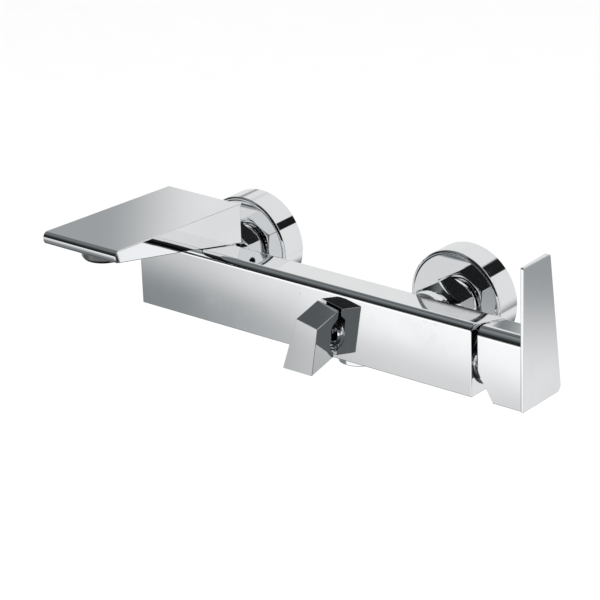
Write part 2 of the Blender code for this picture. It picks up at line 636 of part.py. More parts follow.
def aerator(chrome, rubber, plastic):
    floor, ceiling = AERATOR_FLOOR, AERATOR_CEILING
    middle = (SPOUT_MID, AERATOR_Y, 0)
    outer = AERATOR_RADIUS
    inner = outer - 2.2
    top = ceiling - 2.2
    profile = [(inner - 1.4, floor), (outer - 1.0, floor), (outer - 0.2, floor + 0.8), (outer, floor + 1.6),
               (outer, top), (inner, top), (inner, floor + 1.4), (inner - 1.4, floor + 1.4)]
    finish(turned("aerator_housing", profile, (0, 0, 1), middle, 36), chrome)
    seat = rod("aerator_insert", inner - GAP, floor + 1.4 + GAP, top - 0.2, (0, 0, 1), middle, 24)
    holes = []
    for count, radius in ((1, 0.0), (6, 0.55 * inner)):
        for k in range(count):
            angle = 2 * math.pi * k / count
            spot = (SPOUT_MID + radius * math.cos(angle), AERATOR_Y + radius * math.sin(angle), 0)
            holes.append(rod("hole", 1.7, floor, ceiling + 2, (0, 0, 1), spot, 6))
    finish(cut(seat, *holes), plastic)
    finish(ring("aerator_seal", inner - 2.0, outer - 0.2, top + GAP, ceiling - GAP, (0, 0, 1), middle, 28), rubber)


# ---------------------------------------------------------------- cartridge


def cartridge(brass, rubber, ceramic, plastic, steel, chrome):
    axis = (1, 0, 0)
    centre = (0, AXIS_Y, AXIS_Z)
    ports = [(PORT_SIDE, PORT_RISE), (-PORT_SIDE, PORT_RISE), (0, -MIXED_DROP)]

    def drilled(name, radius, span, hole_radius, look):
        plate = rod(name, radius, span[0], span[1], axis, centre, 28)
        tools = [rod("port", hole_radius, span[0] - 1, span[1] + 1, axis, (0, AXIS_Y + y, AXIS_Z + z), 12)
                 for y, z in ports]
        return finish(cut(plate, *tools), look)

    drilled("cartridge_seal", CART_RADIUS - 0.4, SEAL_X, PORT_RADIUS + 0.2, rubber)
    drilled("cartridge_base", CART_RADIUS, CART_PLATE_X, PORT_RADIUS, plastic)
    drilled("cartridge_fixed_disc", HOUSING_INNER - GAP, FIXED_X, PORT_RADIUS, ceramic)
    disc = rod("cartridge_moving_disc", CARRIER_RADIUS, *MOVING_X, axis, centre, 28)
    pocket = block("pocket", (MOVING_X[0] - 1, MOVING_X[0] + 1.6 * CART_UNIT), (AXIS_Y - 2.4, AXIS_Y + 2.4),
                   (AXIS_Z - 5.4 * CARRIER_RADIUS / 8, AXIS_Z + 1.5))
    finish(cut(disc, pocket), ceramic)
    tip = TIP_RADIUS
    spread = (TIP_X[1] - TIP_X[0]) / 2 * TILT
    carrier = rod("cartridge_disc_carrier", CARRIER_RADIUS, *CARRIER_X, axis, centre, 28)
    slot = block("slot", (TIP_X[0] - GAP, CARRIER_X[1] + 2), (AXIS_Y - tip - GAP, AXIS_Y + tip + GAP),
                 (AXIS_Z - tip * 1.07 - spread - GAP, AXIS_Z + tip * 1.07 + spread + GAP))
    finish(cut(carrier, slot), plastic)
    guide(axis, centre, plastic)
    stem(axis, centre, steel)
    housing = [(HOUSING_INNER, CART_PLATE_X[1] + GAP), (CART_RADIUS, CART_PLATE_X[1] + GAP),
               (CART_RADIUS, CART_TOP), (GUIDE_RADIUS + GAP, CART_TOP),
               (GUIDE_RADIUS + GAP, GUIDE_FLANGE_X[1] + GAP), (HOUSING_INNER, GUIDE_FLANGE_X[1] + GAP)]
    finish(turned("cartridge_housing", housing, axis, centre, 32), plastic)
    ring_end = COLLAR_SEAT - GAP
    inner = max(STEM_HALF * 1.07 + (ring_end - PIVOT_X) * TILT + 1.5, NUT_BORE - 4.6)
    nut = ring("cartridge_retaining_nut", inner, NUT_BORE - GAP, CART_TOP + GAP, ring_end, axis, centre, 32)
    notches = []
    for k in range(3):
        across = (0, math.cos(math.pi * k / 3), math.sin(math.pi * k / 3))
        notches.append(rod("notch", 1.3, -NUT_BORE + 1.2, NUT_BORE - 1.2, across, (ring_end, AXIS_Y, AXIS_Z), 8))
    finish(cut(nut, *notches), brass)
    rim = inner + 0.6
    profile = [(rim, COLLAR_SEAT), (NUT_BORE - GAP, COLLAR_SEAT), (NUT_BORE - GAP, BAR_RIGHT + GAP),
               (NUT_BORE + 1.2, BAR_RIGHT + GAP), (NUT_BORE + 1.2, BAR_RIGHT + GAP + 0.8),
               (NUT_BORE + 0.4, BAR_RIGHT + GAP + 1.5), (rim + 1.0, BAR_RIGHT + GAP + 1.9), (rim, BAR_RIGHT + 1.6)]
    finish(turned("trim_collar", profile, axis, centre, 44), chrome)


def guide(axis, centre, look):
    profile = [(0, GUIDE_FLANGE_X[0]), (HOUSING_INNER - GAP, GUIDE_FLANGE_X[0]),
               (HOUSING_INNER - GAP, GUIDE_FLANGE_X[1]), (GUIDE_RADIUS, GUIDE_FLANGE_X[1]),
               (GUIDE_RADIUS, CART_TOP - GAP), (0, CART_TOP - GAP)]
    body = turned("cartridge_guide", profile, axis, centre, 28)
    reach = max(CART_TOP - PIVOT_X, PIVOT_X - GUIDE_FLANGE_X[0]) * TILT + STEM_HALF * 1.07 + 0.5
    slot = block("slot", (GUIDE_FLANGE_X[0] - 2, CART_TOP + 2), (AXIS_Y - STEM_HALF - GAP, AXIS_Y + STEM_HALF + GAP),
                 (AXIS_Z - reach, AXIS_Z + reach))
    pin_hole = rod("pin_hole", 1.5 + GAP, -GUIDE_RADIUS - 3, GUIDE_RADIUS + 3, (0, 1, 0),
                   (PIVOT_X, AXIS_Y, AXIS_Z), 14)
    finish(cut(body, slot, pin_hole), look)


def stem(axis, centre, look):
    half = STEM_HALF
    body = block("cartridge_stem", (SHOULDER_X, STEM_END), (AXIS_Y - half, AXIS_Y + half),
                 (AXIS_Z - half, AXIS_Z + half), 0.3)
    join(body, rod("tip", TIP_RADIUS, TIP_START, SHOULDER_X + 1.0, axis, centre, 24))
    hole = rod("pin_hole", 1.5 + GAP, -half * 3, half * 3, (0, 1, 0), (PIVOT_X, AXIS_Y, AXIS_Z), 14)
    finish(cut(body, hole), look)
    pin_half = GUIDE_RADIUS - 0.7
    finish(rod("cartridge_pivot_pin", 1.5, -pin_half, pin_half, (0, 1, 0), (PIVOT_X, AXIS_Y, AXIS_Z), 14), look)


# ---------------------------------------------------------------- handle


def hub_section():
    """The bar's section with its back leaning forward behind the lever's back edge."""
    lean = (LEVER_BACK_HIGH - LEVER_BACK_LOW) / (LEVER_TOP - LEVER_FOOT)

    def back_at(z):
        return LEVER_BACK_LOW - 0.5 + lean * (z - LEVER_FOOT)

    top = (BAR_TOP + BAR_TOP_SLOPE * (BAR_FRONT - back_at(0))) / (1 + BAR_TOP_SLOPE * lean)
    corners = [(BAR_FRONT, BAR_BOTTOM), (back_at(BAR_BOTTOM), BAR_BOTTOM), (back_at(top), top), (BAR_FRONT, BAR_TOP)]
    return rounded(corners, [0, 3.0, 6.0, HUB_FRONT_FILLET], 7)


def handle(chrome, steel, plastic):
    hub = prism("handle", hub_section(), "X", HUB_LEFT, HUB_RIGHT + 0.6, 0.35)
    back_low = LEVER_BACK_LOW
    outline = rounded([(BAR_FRONT, LEVER_FOOT), (back_low, LEVER_FOOT), (LEVER_BACK_HIGH, LEVER_TOP),
                       (BAR_FRONT, LEVER_TOP)], [0.4, 3.5, 1.6, 0.8], 5)
    bm = bmesh.new()
    span = back_low - BAR_FRONT
    inner = [bm.verts.new((HUB_RIGHT - LEVER_TAPER * (y - BAR_FRONT) / span, y, z)) for y, z in outline]
    outer = [bm.verts.new((LEVER_OUTER, y, z)) for y, z in outline]
    bm.faces.new(inner)
    bm.faces.new(outer)
    for k in range(len(outline)):
        n = (k + 1) % len(outline)
        bm.faces.new((inner[k], inner[n], outer[n], outer[k]))
    bm.transform(Matrix.Scale(MM, 4))
    soften(bm, 0.3, 2)
    join(hub, to_object(bm, "lever"))
    centre = (0, AXIS_Y, AXIS_Z)
    wall_x = HUB_RIGHT - 3.5
    bore = HUB_BORE
    boss = STEM_HALF * math.sqrt(2) + 2.2
    boss_x = HUB_LEFT + 6.5
    profile = [(0, HUB_LEFT - 5), (bore, HUB_LEFT - 5), (bore, wall_x), (boss, wall_x), (boss, boss_x), (0, boss_x)]
    cavity = turned("cavity", profile, (1, 0, 0), centre, 36)
    half = STEM_HALF + GAP
    socket = block("socket", (boss_x - 3, STEM_END + 1.0), (AXIS_Y - half, AXIS_Y + half),
                   (AXIS_Z - half, AXIS_Z + half))
    relief = relief_cutter()
    screw_x = (boss_x + STEM_END) / 2
    screw_hole = rod("screw_hole", 2.0 + GAP, BAR_BOTTOM - AXIS_Z - 6, 0, (0, 0, 1), (screw_x, AXIS_Y, AXIS_Z), 12)
    cut(hub, cavity, relief)
    finish(cut(hub, socket, screw_hole), chrome)
    tip = AXIS_Z - STEM_HALF - GAP
    screw = socket_screw("handle_grub_screw", 2.0, 6.0, 2.0, (0, 0, -1), (screw_x, AXIS_Y, tip - 6.0), steel)
    plug = [(0, BAR_BOTTOM + 2.4), (2.0, BAR_BOTTOM + 2.4), (2.0, BAR_BOTTOM + 0.3), (0, BAR_BOTTOM + 0.3)]
    cap = finish(turned("handle_cap", plug, (0, 0, 1), (screw_x, AXIS_Y, 0), 16), plastic)
    return screw, cap


def relief_cutter():
    """The hub's lower corner next to the bar is cut away so that the lever can tilt."""
    low = BAR_BOTTOM
    curve = [(0, 19.0), (0.8, 15.8), (2.4, 12.3), (5.3, 7.6), (9.3, 1.0), (10.8, -1.5)]
    outline = [(HUB_LEFT + dx - (0.05 if k == 0 else 0), low + dz) for k, (dx, dz) in enumerate(curve)]
    outline += [(HUB_LEFT - 4, low - 1.5), (HUB_LEFT - 4, low + 19.0)]
    return prism("relief", outline, "Y", BAR_FRONT - 5, BAR_BACK + 5)


# ---------------------------------------------------------------- diverter


def diverter(chrome, rubber, steel, plastic):
    axis = (0, 1, 0)
    centre = (DIVERTER_X, 0, DIVERTER_Z)
    radius = DIVERTER_RADIUS - GAP
    shaft = 3.6
    bonnet_back = BAR_FRONT + 7.5
    profile = [(shaft + GAP, BONNET_FACE), (radius - 2.6, BONNET_FACE), (radius - 1.8, BONNET_FACE + 0.6),
               (radius - 1.8, BAR_FRONT), (radius, BAR_FRONT + 0.2), (radius, bonnet_back),
               (shaft + 2.6, bonnet_back), (shaft + 2.6, bonnet_back - 2.6), (shaft + GAP, bonnet_back - 2.6)]
    finish(turned("diverter_bonnet", profile, axis, centre, 32), chrome)
    ring_y = bonnet_back - 2.6 + GAP + 0.95
    finish(torus("diverter_o_ring", shaft + 1.3, 0.95, ring_y, axis, centre, 20), rubber)
    plate = (bonnet_back + GAP, bonnet_back + GAP + 2.4)
    rotor = rod("diverter_rotor", radius, *plate, axis, centre, 32)
    shell = ring("shell", radius - 2.2, radius, plate[1] - 1, DIVERTER_END - GAP, axis, centre, 32)
    reach = 2 * radius
    open_side = [(DIVERTER_X - reach, DIVERTER_Z + reach), (DIVERTER_X - reach, DIVERTER_Z - 0.2 * reach),
                 (DIVERTER_X, DIVERTER_Z - 0.04 * reach), (DIVERTER_X + reach, DIVERTER_Z - 0.55 * reach),
                 (DIVERTER_X + reach, DIVERTER_Z + reach)]
    opening = prism("opening", open_side, "Y", plate[1] - 2, DIVERTER_END + 3)
    cut(shell, opening)
    join(rotor, shell)
    socket = block("socket", (DIVERTER_X - 2.0 - GAP, DIVERTER_X + 2.0 + GAP), (plate[0] - 2, plate[1] + 2),
                   (DIVERTER_Z - 3.2 - GAP, DIVERTER_Z + 3.2 + GAP))
    finish(cut(rotor, socket), plastic)
    spindle_front = KNOB_BACK - 0.72 * KNOB_DEPTH
    spindle = rod("diverter_spindle", shaft, spindle_front, bonnet_back, axis, centre, 20)
    foot = block("foot", (DIVERTER_X - 2.0, DIVERTER_X + 2.0), (bonnet_back - 1.0, plate[1] - 0.2),
                 (DIVERTER_Z - 3.2, DIVERTER_Z + 3.2))
    finish(join(spindle, foot), steel)
    knob(shaft, spindle_front, chrome)
    screw_y = (spindle_front + KNOB_BACK) / 2 - 2.4
    tip = DIVERTER_Z - shaft - GAP
    socket_screw("knob_grub_screw", 1.75, 5.5, 1.8, (0, 0, -1), (DIVERTER_X, screw_y, tip - 5.5), steel)
    shower_outlet(chrome, rubber)


def knob(shaft, spindle_front, look):
    """A sheared, four-sided grip: its front sits lower than its back and widens downwards."""
    unit = DIVERTER_RADIUS / 11.5
    face = [(-5.8, 12.0), (8.5, 9.1), (3.7, -19.5), (-16.4, -19.5)]
    shear = 5.0
    points = []
    for dx, dz in face:
        points.append((DIVERTER_X + unit * dx, KNOB_FRONT, DIVERTER_Z + unit * dz))
        points.append((DIVERTER_X + unit * (dx + 0.9), KNOB_BACK, DIVERTER_Z + unit * (dz + shear)))
    body = hull_of("diverter_knob", points, 0.3)
    centre = (DIVERTER_X, 0, DIVERTER_Z)
    mouth = DIVERTER_RADIUS + 1.2
    seat = DIVERTER_RADIUS - GAP - 1.8 + 0.5
    cone = [(0, KNOB_BACK + 2), (mouth + 1.6, KNOB_BACK + 2), (seat, KNOB_BACK - 4.2), (0, KNOB_BACK - 4.2)]
    bore = rod("bore", shaft + GAP, spindle_front - 0.6, KNOB_BACK, (0, 1, 0), centre, 20)
    screw_y = (spindle_front + KNOB_BACK) / 2 - 2.4
    screw_hole = rod("screw_hole", 1.75 + GAP, -30, 0, (0, 0, 1), (DIVERTER_X, screw_y, DIVERTER_Z), 12)
    cut(body, turned("cone", cone, (0, 1, 0), centre, 40))
    return finish(cut(body, bore, screw_hole), look)


def shower_outlet(chrome, rubber):
    axis = (0, 0, 1)
    centre = (OUTLET_X, AXIS_Y, 0)
    top = BAR_BOTTOM - GAP
    low = top - OUTLET_DROP
    outer = OUTLET_RADIUS
    neck = outer - 1.8
    neck_top = OUTLET_SEAT - 2 * GAP - 1.4
    socket = outer - 3.5
    profile = [(4.3, neck_top), (neck, neck_top), (neck, top), (outer - 0.4, top), (outer, top - 0.4),
               (outer, low + 0.8), (outer - 0.8, low), (socket, low), (socket, neck_top - 1.4), (4.3, neck_top - 1.4)]
    finish(turned("shower_outlet", profile, axis, centre, 32), chrome)
    washer = ring("shower_outlet_seal", 6.0, neck - 0.4, neck_top + GAP, OUTLET_SEAT - GAP, axis, centre, 24)
    finish(washer, rubber)


# ---------------------------------------------------------------- whole object


def main():
    clear_scene()
    chrome = material("chrome", (0.86, 0.87, 0.88), 1.0, 0.06)
    brass = material("brass", (0.78, 0.62, 0.34), 1.0, 0.28)
    steel = material("stainless_steel", (0.66, 0.66, 0.65), 1.0, 0.25)
    rubber = material("rubber", (0.03, 0.03, 0.03), 0.0, 0.75)
    ceramic = material("ceramic", (0.88, 0.87, 0.84), 0.0, 0.25)
    plastic = material("plastic", (0.80, 0.80, 0.78), 0.0, 0.45)
    wall_side("left", -INLET_SPACING / 2, chrome, rubber, steel)
    wall_side("right", INLET_SPACING / 2, chrome, rubber, steel)
    bar_body(chrome)
    left_end(chrome, rubber)
    spout(chrome, brass, rubber, steel, plastic)
    cartridge(brass, rubber, ceramic, plastic, steel, chrome)
    handle(chrome, steel, plastic)
    diverter(chrome, rubber, steel, plastic)
    named = bpy.data.objects
    pivot = (PIVOT_X, AXIS_Y, AXIS_Z)
    turning = ["cartridge_guide", "cartridge_pivot_pin", "cartridge_disc_carrier", "cartridge_moving_disc"]
    turn_axis = parent_on("lever_turn_axis", pivot, [named[n] for n in turning])
    tilting = ["cartridge_stem", "handle", "handle_grub_screw", "handle_cap"]
    tilt_axis = parent_on("lever_tilt_axis", pivot, [named[n] for n in tilting])
    tilt_axis.parent = turn_axis
    tilt_axis.matrix_parent_inverse = turn_axis.matrix_world.inverted()
    knob_pieces = ["diverter_knob", "diverter_spindle", "diverter_rotor", "knob_grub_screw"]
    parent_on("diverter_axis", (DIVERTER_X, BAR_FRONT, DIVERTER_Z), [named[n] for n in knob_pieces])


main()
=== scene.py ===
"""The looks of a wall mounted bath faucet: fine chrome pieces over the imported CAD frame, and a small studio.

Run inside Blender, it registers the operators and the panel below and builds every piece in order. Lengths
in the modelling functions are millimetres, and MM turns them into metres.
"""

import json
import math

import bmesh
import bpy
from bpy.props import FloatProperty, FloatVectorProperty, IntProperty, PointerProperty
from mathutils import Matrix, Vector


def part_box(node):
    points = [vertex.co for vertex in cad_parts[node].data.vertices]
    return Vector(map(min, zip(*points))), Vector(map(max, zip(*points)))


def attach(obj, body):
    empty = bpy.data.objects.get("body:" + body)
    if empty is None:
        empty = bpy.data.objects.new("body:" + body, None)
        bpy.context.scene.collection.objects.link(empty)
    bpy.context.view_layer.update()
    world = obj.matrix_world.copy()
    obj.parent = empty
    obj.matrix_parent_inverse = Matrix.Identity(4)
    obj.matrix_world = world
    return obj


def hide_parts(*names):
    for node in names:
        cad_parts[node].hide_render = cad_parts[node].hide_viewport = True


bl_info = {
    "name": "Bath faucet looks",
    "version": (1, 0, 0),
    "blender": (4, 5, 0),
    "location": "View3D > Sidebar > Faucet",
    "description": "Builds the visible pieces of a wall mounted bath faucet and its studio",
    "category": "Object",
}

MM = 0.001
SMOOTH_BELOW = math.radians(32)
BEVEL_ABOVE = math.radians(35)

# Sizes that the pieces share, in millimetres
GAP = 0.3
BAR_HEIGHT = 42.0
TOP_SLOPE = 0.22
BOSS_HEIGHT = 3.3
BOSS_RADIUS = 14.5
TAIL_THREAD = 9.2
NUT_LIP = 2.3
UNION_THREAD = 13.1
PIPE_THREAD = 10.4
THREAD_PITCH = 1.8
NUT_BORE = 15.45
DIVERTER_RADIUS = 11.5
SPINDLE_RADIUS = 3.6
OUTLET_BORE = 4.3
NIPPLE_BORE = 7.8
AERATOR_RADIUS = 13.0
LEVER_PLATE = 2.0
SCREW_BORE = 2.3

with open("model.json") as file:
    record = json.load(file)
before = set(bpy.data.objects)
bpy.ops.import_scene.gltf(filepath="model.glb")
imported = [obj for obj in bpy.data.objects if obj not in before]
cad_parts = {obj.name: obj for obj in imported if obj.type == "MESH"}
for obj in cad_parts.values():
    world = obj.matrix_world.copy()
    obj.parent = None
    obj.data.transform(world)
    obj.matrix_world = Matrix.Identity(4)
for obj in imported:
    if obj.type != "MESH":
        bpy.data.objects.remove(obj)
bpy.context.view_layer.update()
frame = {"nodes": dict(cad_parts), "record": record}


# ---------------------------------------------------------------- places taken from the frame


def span(node, axis):
    """Lowest and highest value of a CAD node along an axis (0 to 2), in millimetres."""
    low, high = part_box(node)
    return low[axis] / MM, high[axis] / MM


def middle(node, axis):
    return sum(span(node, axis)) / 2


def width(node, axis):
    low, high = span(node, axis)
    return high - low


BAR_LEFT, BAR_RIGHT = span("bar_body", 0)
BAR_FRONT, BOSS_FACE = span("bar_body", 1)
BAR_BOTTOM = span("bar_body", 2)[0]
BAR_BACK = BOSS_FACE - BOSS_HEIGHT
BAR_TOP = BAR_BOTTOM + BAR_HEIGHT
SLOPE_UP = (0, math.sin(math.atan(TOP_SLOPE)), math.cos(math.atan(TOP_SLOPE)))
INLET_XS = (middle("left_flange", 0), middle("right_flange", 0))
AXIS_Y = middle("trim_collar", 1)
AXIS_Z = middle("trim_collar", 2)
DUCT_Y = (span("left_end_plug", 1)[0] - GAP, span("left_end_plug", 1)[1] + GAP)
DUCT_Z = (span("left_end_plug", 2)[0] - GAP, span("left_end_plug", 2)[1] + GAP)
CART_BASE = span("cartridge_seal", 0)[0] - GAP
CART_TOP = span("cartridge_retaining_nut", 0)[0] - GAP
CART_BORE = width("cartridge_base", 2) / 2 + GAP
DIVERTER_X = middle("diverter_bonnet", 0)
DIVERTER_Z = middle("diverter_bonnet", 2)
OUTLET_X = middle("shower_outlet", 0)
OUTLET_SEAT = span("shower_outlet_seal", 2)[1] + GAP
SPOUT_LEFT, SPOUT_RIGHT = span("spout_body", 0)
SPOUT_NOSE, SPOUT_BACK = span("spout_body", 1)
SPOUT_MID = middle("aerator_housing", 0)
AERATOR_Y = middle("aerator_housing", 1)
AERATOR_FLOOR = span("aerator_housing", 2)[0]
AERATOR_CEILING = span("aerator_seal", 2)[1] + GAP
NIPPLE_Y = sum(DUCT_Y) / 2
HUB_LEFT, LEVER_OUTER = span("handle", 0)
HUB_RIGHT = LEVER_OUTER - LEVER_PLATE
LEVER_TOP = span("handle", 2)[1]
NUT_FRONT, NUT_BACK = span("left_union_nut", 1)


def bar_top_at(y):
    """Height of the bar's sloping top at a depth."""
    return BAR_TOP - TOP_SLOPE * (y - BAR_FRONT)


NIPPLE_FOOT = (SPOUT_MID, NIPPLE_Y, bar_top_at(NIPPLE_Y))


# ---------------------------------------------------------------- modelling helpers


def place(bm, axis, origin):
    """Turns a shape made along +Z onto an axis, moves it to its origin and scales it to metres."""
    turn = Vector((0, 0, 1)).rotation_difference(Vector(axis)).to_matrix().to_4x4()
    bm.transform(Matrix.Scale(MM, 4) @ Matrix.Translation(Vector(origin)) @ turn)


def to_object(bm, name):
    """Merges doubled points, turns the faces outwards and puts the mesh in the scene."""
    bmesh.ops.remove_doubles(bm, verts=bm.verts, dist=1e-8)
    bmesh.ops.recalc_face_normals(bm, faces=bm.faces)
    mesh = bpy.data.meshes.new(name)
    bm.to_mesh(mesh)
    bm.free()
    made = bpy.data.objects.new(name, mesh)
    bpy.context.scene.collection.objects.link(made)
    return made


def eased(points, radius, steps=4):
    """A closed outline with its corners rounded, by less where the sides beside them are short."""
    made = []
    count = len(points)
    for k, point in enumerate(points):
        here = Vector(point)
        back = Vector(points[k - 1]) - here
        ahead = Vector(points[(k + 1) % count]) - here
        bend = math.pi - back.angle(ahead, math.pi)
        if here.x <= 1e-6 or bend < math.radians(20):
            made.append(tuple(here))
            continue
        reach = min(radius * math.tan(bend / 2), 0.45 * back.length, 0.45 * ahead.length)
        made += arc(here, back.normalized(), ahead.normalized(), reach, steps)
    return made


def arc(corner, back, ahead, reach, steps):
    """Points of the arc that touches both sides of a corner at a distance of reach from it."""
    half = back.angle(ahead) / 2
    centre = corner + (back + ahead).normalized() * reach / math.cos(half)
    first = corner + back * reach - centre
    last = corner + ahead * reach - centre
    sweep = first.angle_signed(last)
    turns = [Matrix.Rotation(-sweep * step / steps, 2) for step in range(steps + 1)]
    return [tuple(centre + turn @ first) for turn in turns]


def rounded(points, radii, steps):
    """An outline whose corners are replaced by arcs of their own radii; a radius of 0 keeps the corner."""
    made = []
    count = len(points)
    for k, (point, radius) in enumerate(zip(points, radii)):
        here = Vector(point)
        if radius <= 0:
            made.append(tuple(here))
            continue
        back = (Vector(points[k - 1]) - here).normalized()
        ahead = (Vector(points[(k + 1) % count]) - here).normalized()
        made += arc(here, back, ahead, radius / math.tan(back.angle(ahead) / 2), steps)
    return made


def turned(name, profile, axis, origin, segments=144):
    """A turned solid: profile lists (radius, height) in order round the section."""
    bm = bmesh.new()
    rings = []
    for radius, height in profile:
        if radius <= 1e-6:
            rings.append([bm.verts.new((0, 0, height))])
            continue
        steps = [2 * math.pi * k / segments for k in range(segments)]
        rings.append([bm.verts.new((radius * math.cos(a), radius * math.sin(a), height)) for a in steps])
    for low, high in zip(rings, rings[1:] + rings[:1]):
        for k in range(segments):
            n = (k + 1) % segments
            corners = [low[k % len(low)], low[n % len(low)], high[n % len(high)], high[k % len(high)]]
            unique = list(dict.fromkeys(corners))
            if len(unique) > 2:
                bm.faces.new(unique)
    place(bm, axis, origin)
    return to_object(bm, name)


def rod(name, radius, start, end, axis, origin, segments=96):
    return turned(name, [(0, start), (radius, start), (radius, end), (0, end)], axis, origin, segments)


def soften(bm, size, segments=3):
    """Rounds every edge that bends by more than BEVEL_ABOVE."""
    bmesh.ops.recalc_face_normals(bm, faces=bm.faces)
    sharp = [e for e in bm.edges if e.calc_face_angle(0) > BEVEL_ABOVE]
    bmesh.ops.bevel(bm, geom=sharp, offset=size * MM, segments=segments, profile=0.5, affect="EDGES")


def prism(name, outline, axis, start, end, edge=0.0):
    """Extrudes an outline along X (points are y, z), Y (x, z) or Z (x, y).

    Each end is a place on the axis, or a function that gives it for a point of the outline.
    """
    spots = {
        "X": lambda a, b, c: (c, a, b),
        "Y": lambda a, b, c: (a, c, b),
        "Z": lambda a, b, c: (a, b, c),
    }
    bm = bmesh.new()

    def ring(end_at):
        places = [end_at(a, b) if callable(end_at) else end_at for a, b in outline]
        return [bm.verts.new(spots[axis](a, b, c)) for (a, b), c in zip(outline, places)]

    low, high = ring(start), ring(end)
    bm.faces.new(low)
    bm.faces.new(high)
    for k in range(len(outline)):
        n = (k + 1) % len(outline)
        bm.faces.new((low[k], low[n], high[n], high[k]))
    bm.transform(Matrix.Scale(MM, 4))
    if edge > 0:
        soften(bm, edge)
    return to_object(bm, name)


def block(name, xs, ys, zs):
    outline = [(xs[0], ys[0]), (xs[1], ys[0]), (xs[1], ys[1]), (xs[0], ys[1])]
    return prism(name, outline, "Z", zs[0], zs[1])


def settled(made):
    """Applies the modifiers of a piece by taking the mesh that they make."""
    bpy.context.view_layer.update()
    graph = bpy.context.evaluated_depsgraph_get()
    mesh = bpy.data.meshes.new_from_object(made.evaluated_get(graph))
    made.modifiers.clear()
    made.data = mesh
    return made


def combine(target, tools, operation):
    """Adds or removes other solids one by one, and leaves one clean mesh behind."""
    for tool in tools:
        step = target.modifiers.new(tool.name, "BOOLEAN")
        step.solver = "EXACT"
        step.operation = operation
        step.object = tool
        settled(target)
        bm = bmesh.new()
        bm.from_mesh(target.data)
        bmesh.ops.remove_doubles(bm, verts=bm.verts, dist=2e-6)
        bmesh.ops.dissolve_degenerate(bm, edges=bm.edges, dist=2e-6)
        bm.to_mesh(target.data)
        bm.free()
        bpy.data.objects.remove(tool, do_unlink=True)
    if not target.data.polygons:
        raise RuntimeError(f"{target.name} lost its mesh in a Boolean")
    return target


def cut(target, *tools):
    return combine(target, tools, "DIFFERENCE")


def join(target, *tools):
    return combine(target, tools, "UNION")


def shade(made, look):
    """Smooth shading broken at the real edges, with large flat faces kept flat, and the piece's material."""
    mesh = made.data
    mesh.materials.clear()
    mesh.materials.append(look)
    bm = bmesh.new()
    bm.from_mesh(mesh)
    for face in bm.faces:
        face.smooth = True
        face.material_index = 0
    for edge in bm.edges:
        edge.smooth = edge.calc_face_angle(0) < SMOOTH_BELOW
    bm.to_mesh(mesh)
    bm.free()
    weigh = made.modifiers.new("flat faces", "WEIGHTED_NORMAL")
    weigh.keep_sharp = True
    return settled(made)


def piece(made, look, body, slot, *nodes):
    """Finishes a piece, hangs it under its body's empty and hides the CAD nodes it stands for."""
    shade(made, look)
    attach(made, body)
    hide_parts(*nodes)
    return made


# ---------------------------------------------------------------- geometry nodes


class Graph:
    """A geometry node group under construction."""

    def __init__(self, name, inputs):
        self.tree = bpy.data.node_groups.new(name, "GeometryNodeTree")
        self.tree.interface.new_socket("Geometry", in_out="OUTPUT", socket_type="NodeSocketGeometry")
        for label, kind, default in inputs:
            made = self.tree.interface.new_socket(label, in_out="INPUT", socket_type=kind)
            if default is not None:
                made.default_value = default
        self.given = self.tree.nodes.new("NodeGroupInput").outputs

    def node(self, kind, **settings):
        """Adds a node: the entries of links feed its inputs, and the others are the node's own settings."""
        made = self.tree.nodes.new(kind)
        links = settings.pop("links", {})
        for key, value in settings.items():
            setattr(made, key, value)
        for key, value in links.items():
            if isinstance(value, bpy.types.NodeSocket):
                self.tree.links.new(value, made.inputs[key])
            else:
                made.inputs[key].default_value = value
        return made

    def math(self, operation, *values):
        return self.node("ShaderNodeMath", operation=operation, links=dict(enumerate(values))).outputs[0]

    def end(self, geometry):
        """Realizes the instances, sets the material and closes the group."""
        real = self.node("GeometryNodeRealizeInstances", links={0: geometry}).outputs[0]
        coated = self.node("GeometryNodeSetMaterial", links={
            "Geometry": real, "Material": self.given["Material"]})
        self.node("NodeGroupOutput", links={0: coated.outputs[0]})
        return self.tree


def helix_group():
    """A helical ridge of diamond section, for a pipe thread."""
    graph = Graph("Helical ridge", [
        ("Radius", "NodeSocketFloat", 0.01),
        ("Pitch", "NodeSocketFloat", THREAD_PITCH * MM),
        ("Turns", "NodeSocketFloat", 6.0),
        ("Depth", "NodeSocketFloat", 0.0007),
        ("Material", "NodeSocketMaterial", None)])
    height = graph.math("MULTIPLY", graph.given["Pitch"], graph.given["Turns"])
    spiral = graph.node("GeometryNodeCurveSpiral", links={
        "Resolution": 48, "Rotations": graph.given["Turns"], "Height": height,
        "Start Radius": graph.given["Radius"], "End Radius": graph.given["Radius"]})
    section = graph.node("GeometryNodeCurvePrimitiveCircle", links={
        "Resolution": 4, "Radius": graph.given["Depth"]})
    ridge = graph.node("GeometryNodeCurveToMesh", links={
        "Curve": spiral.outputs[0], "Profile Curve": section.outputs[0], "Fill Caps": True})
    return graph.end(ridge.outputs[0])


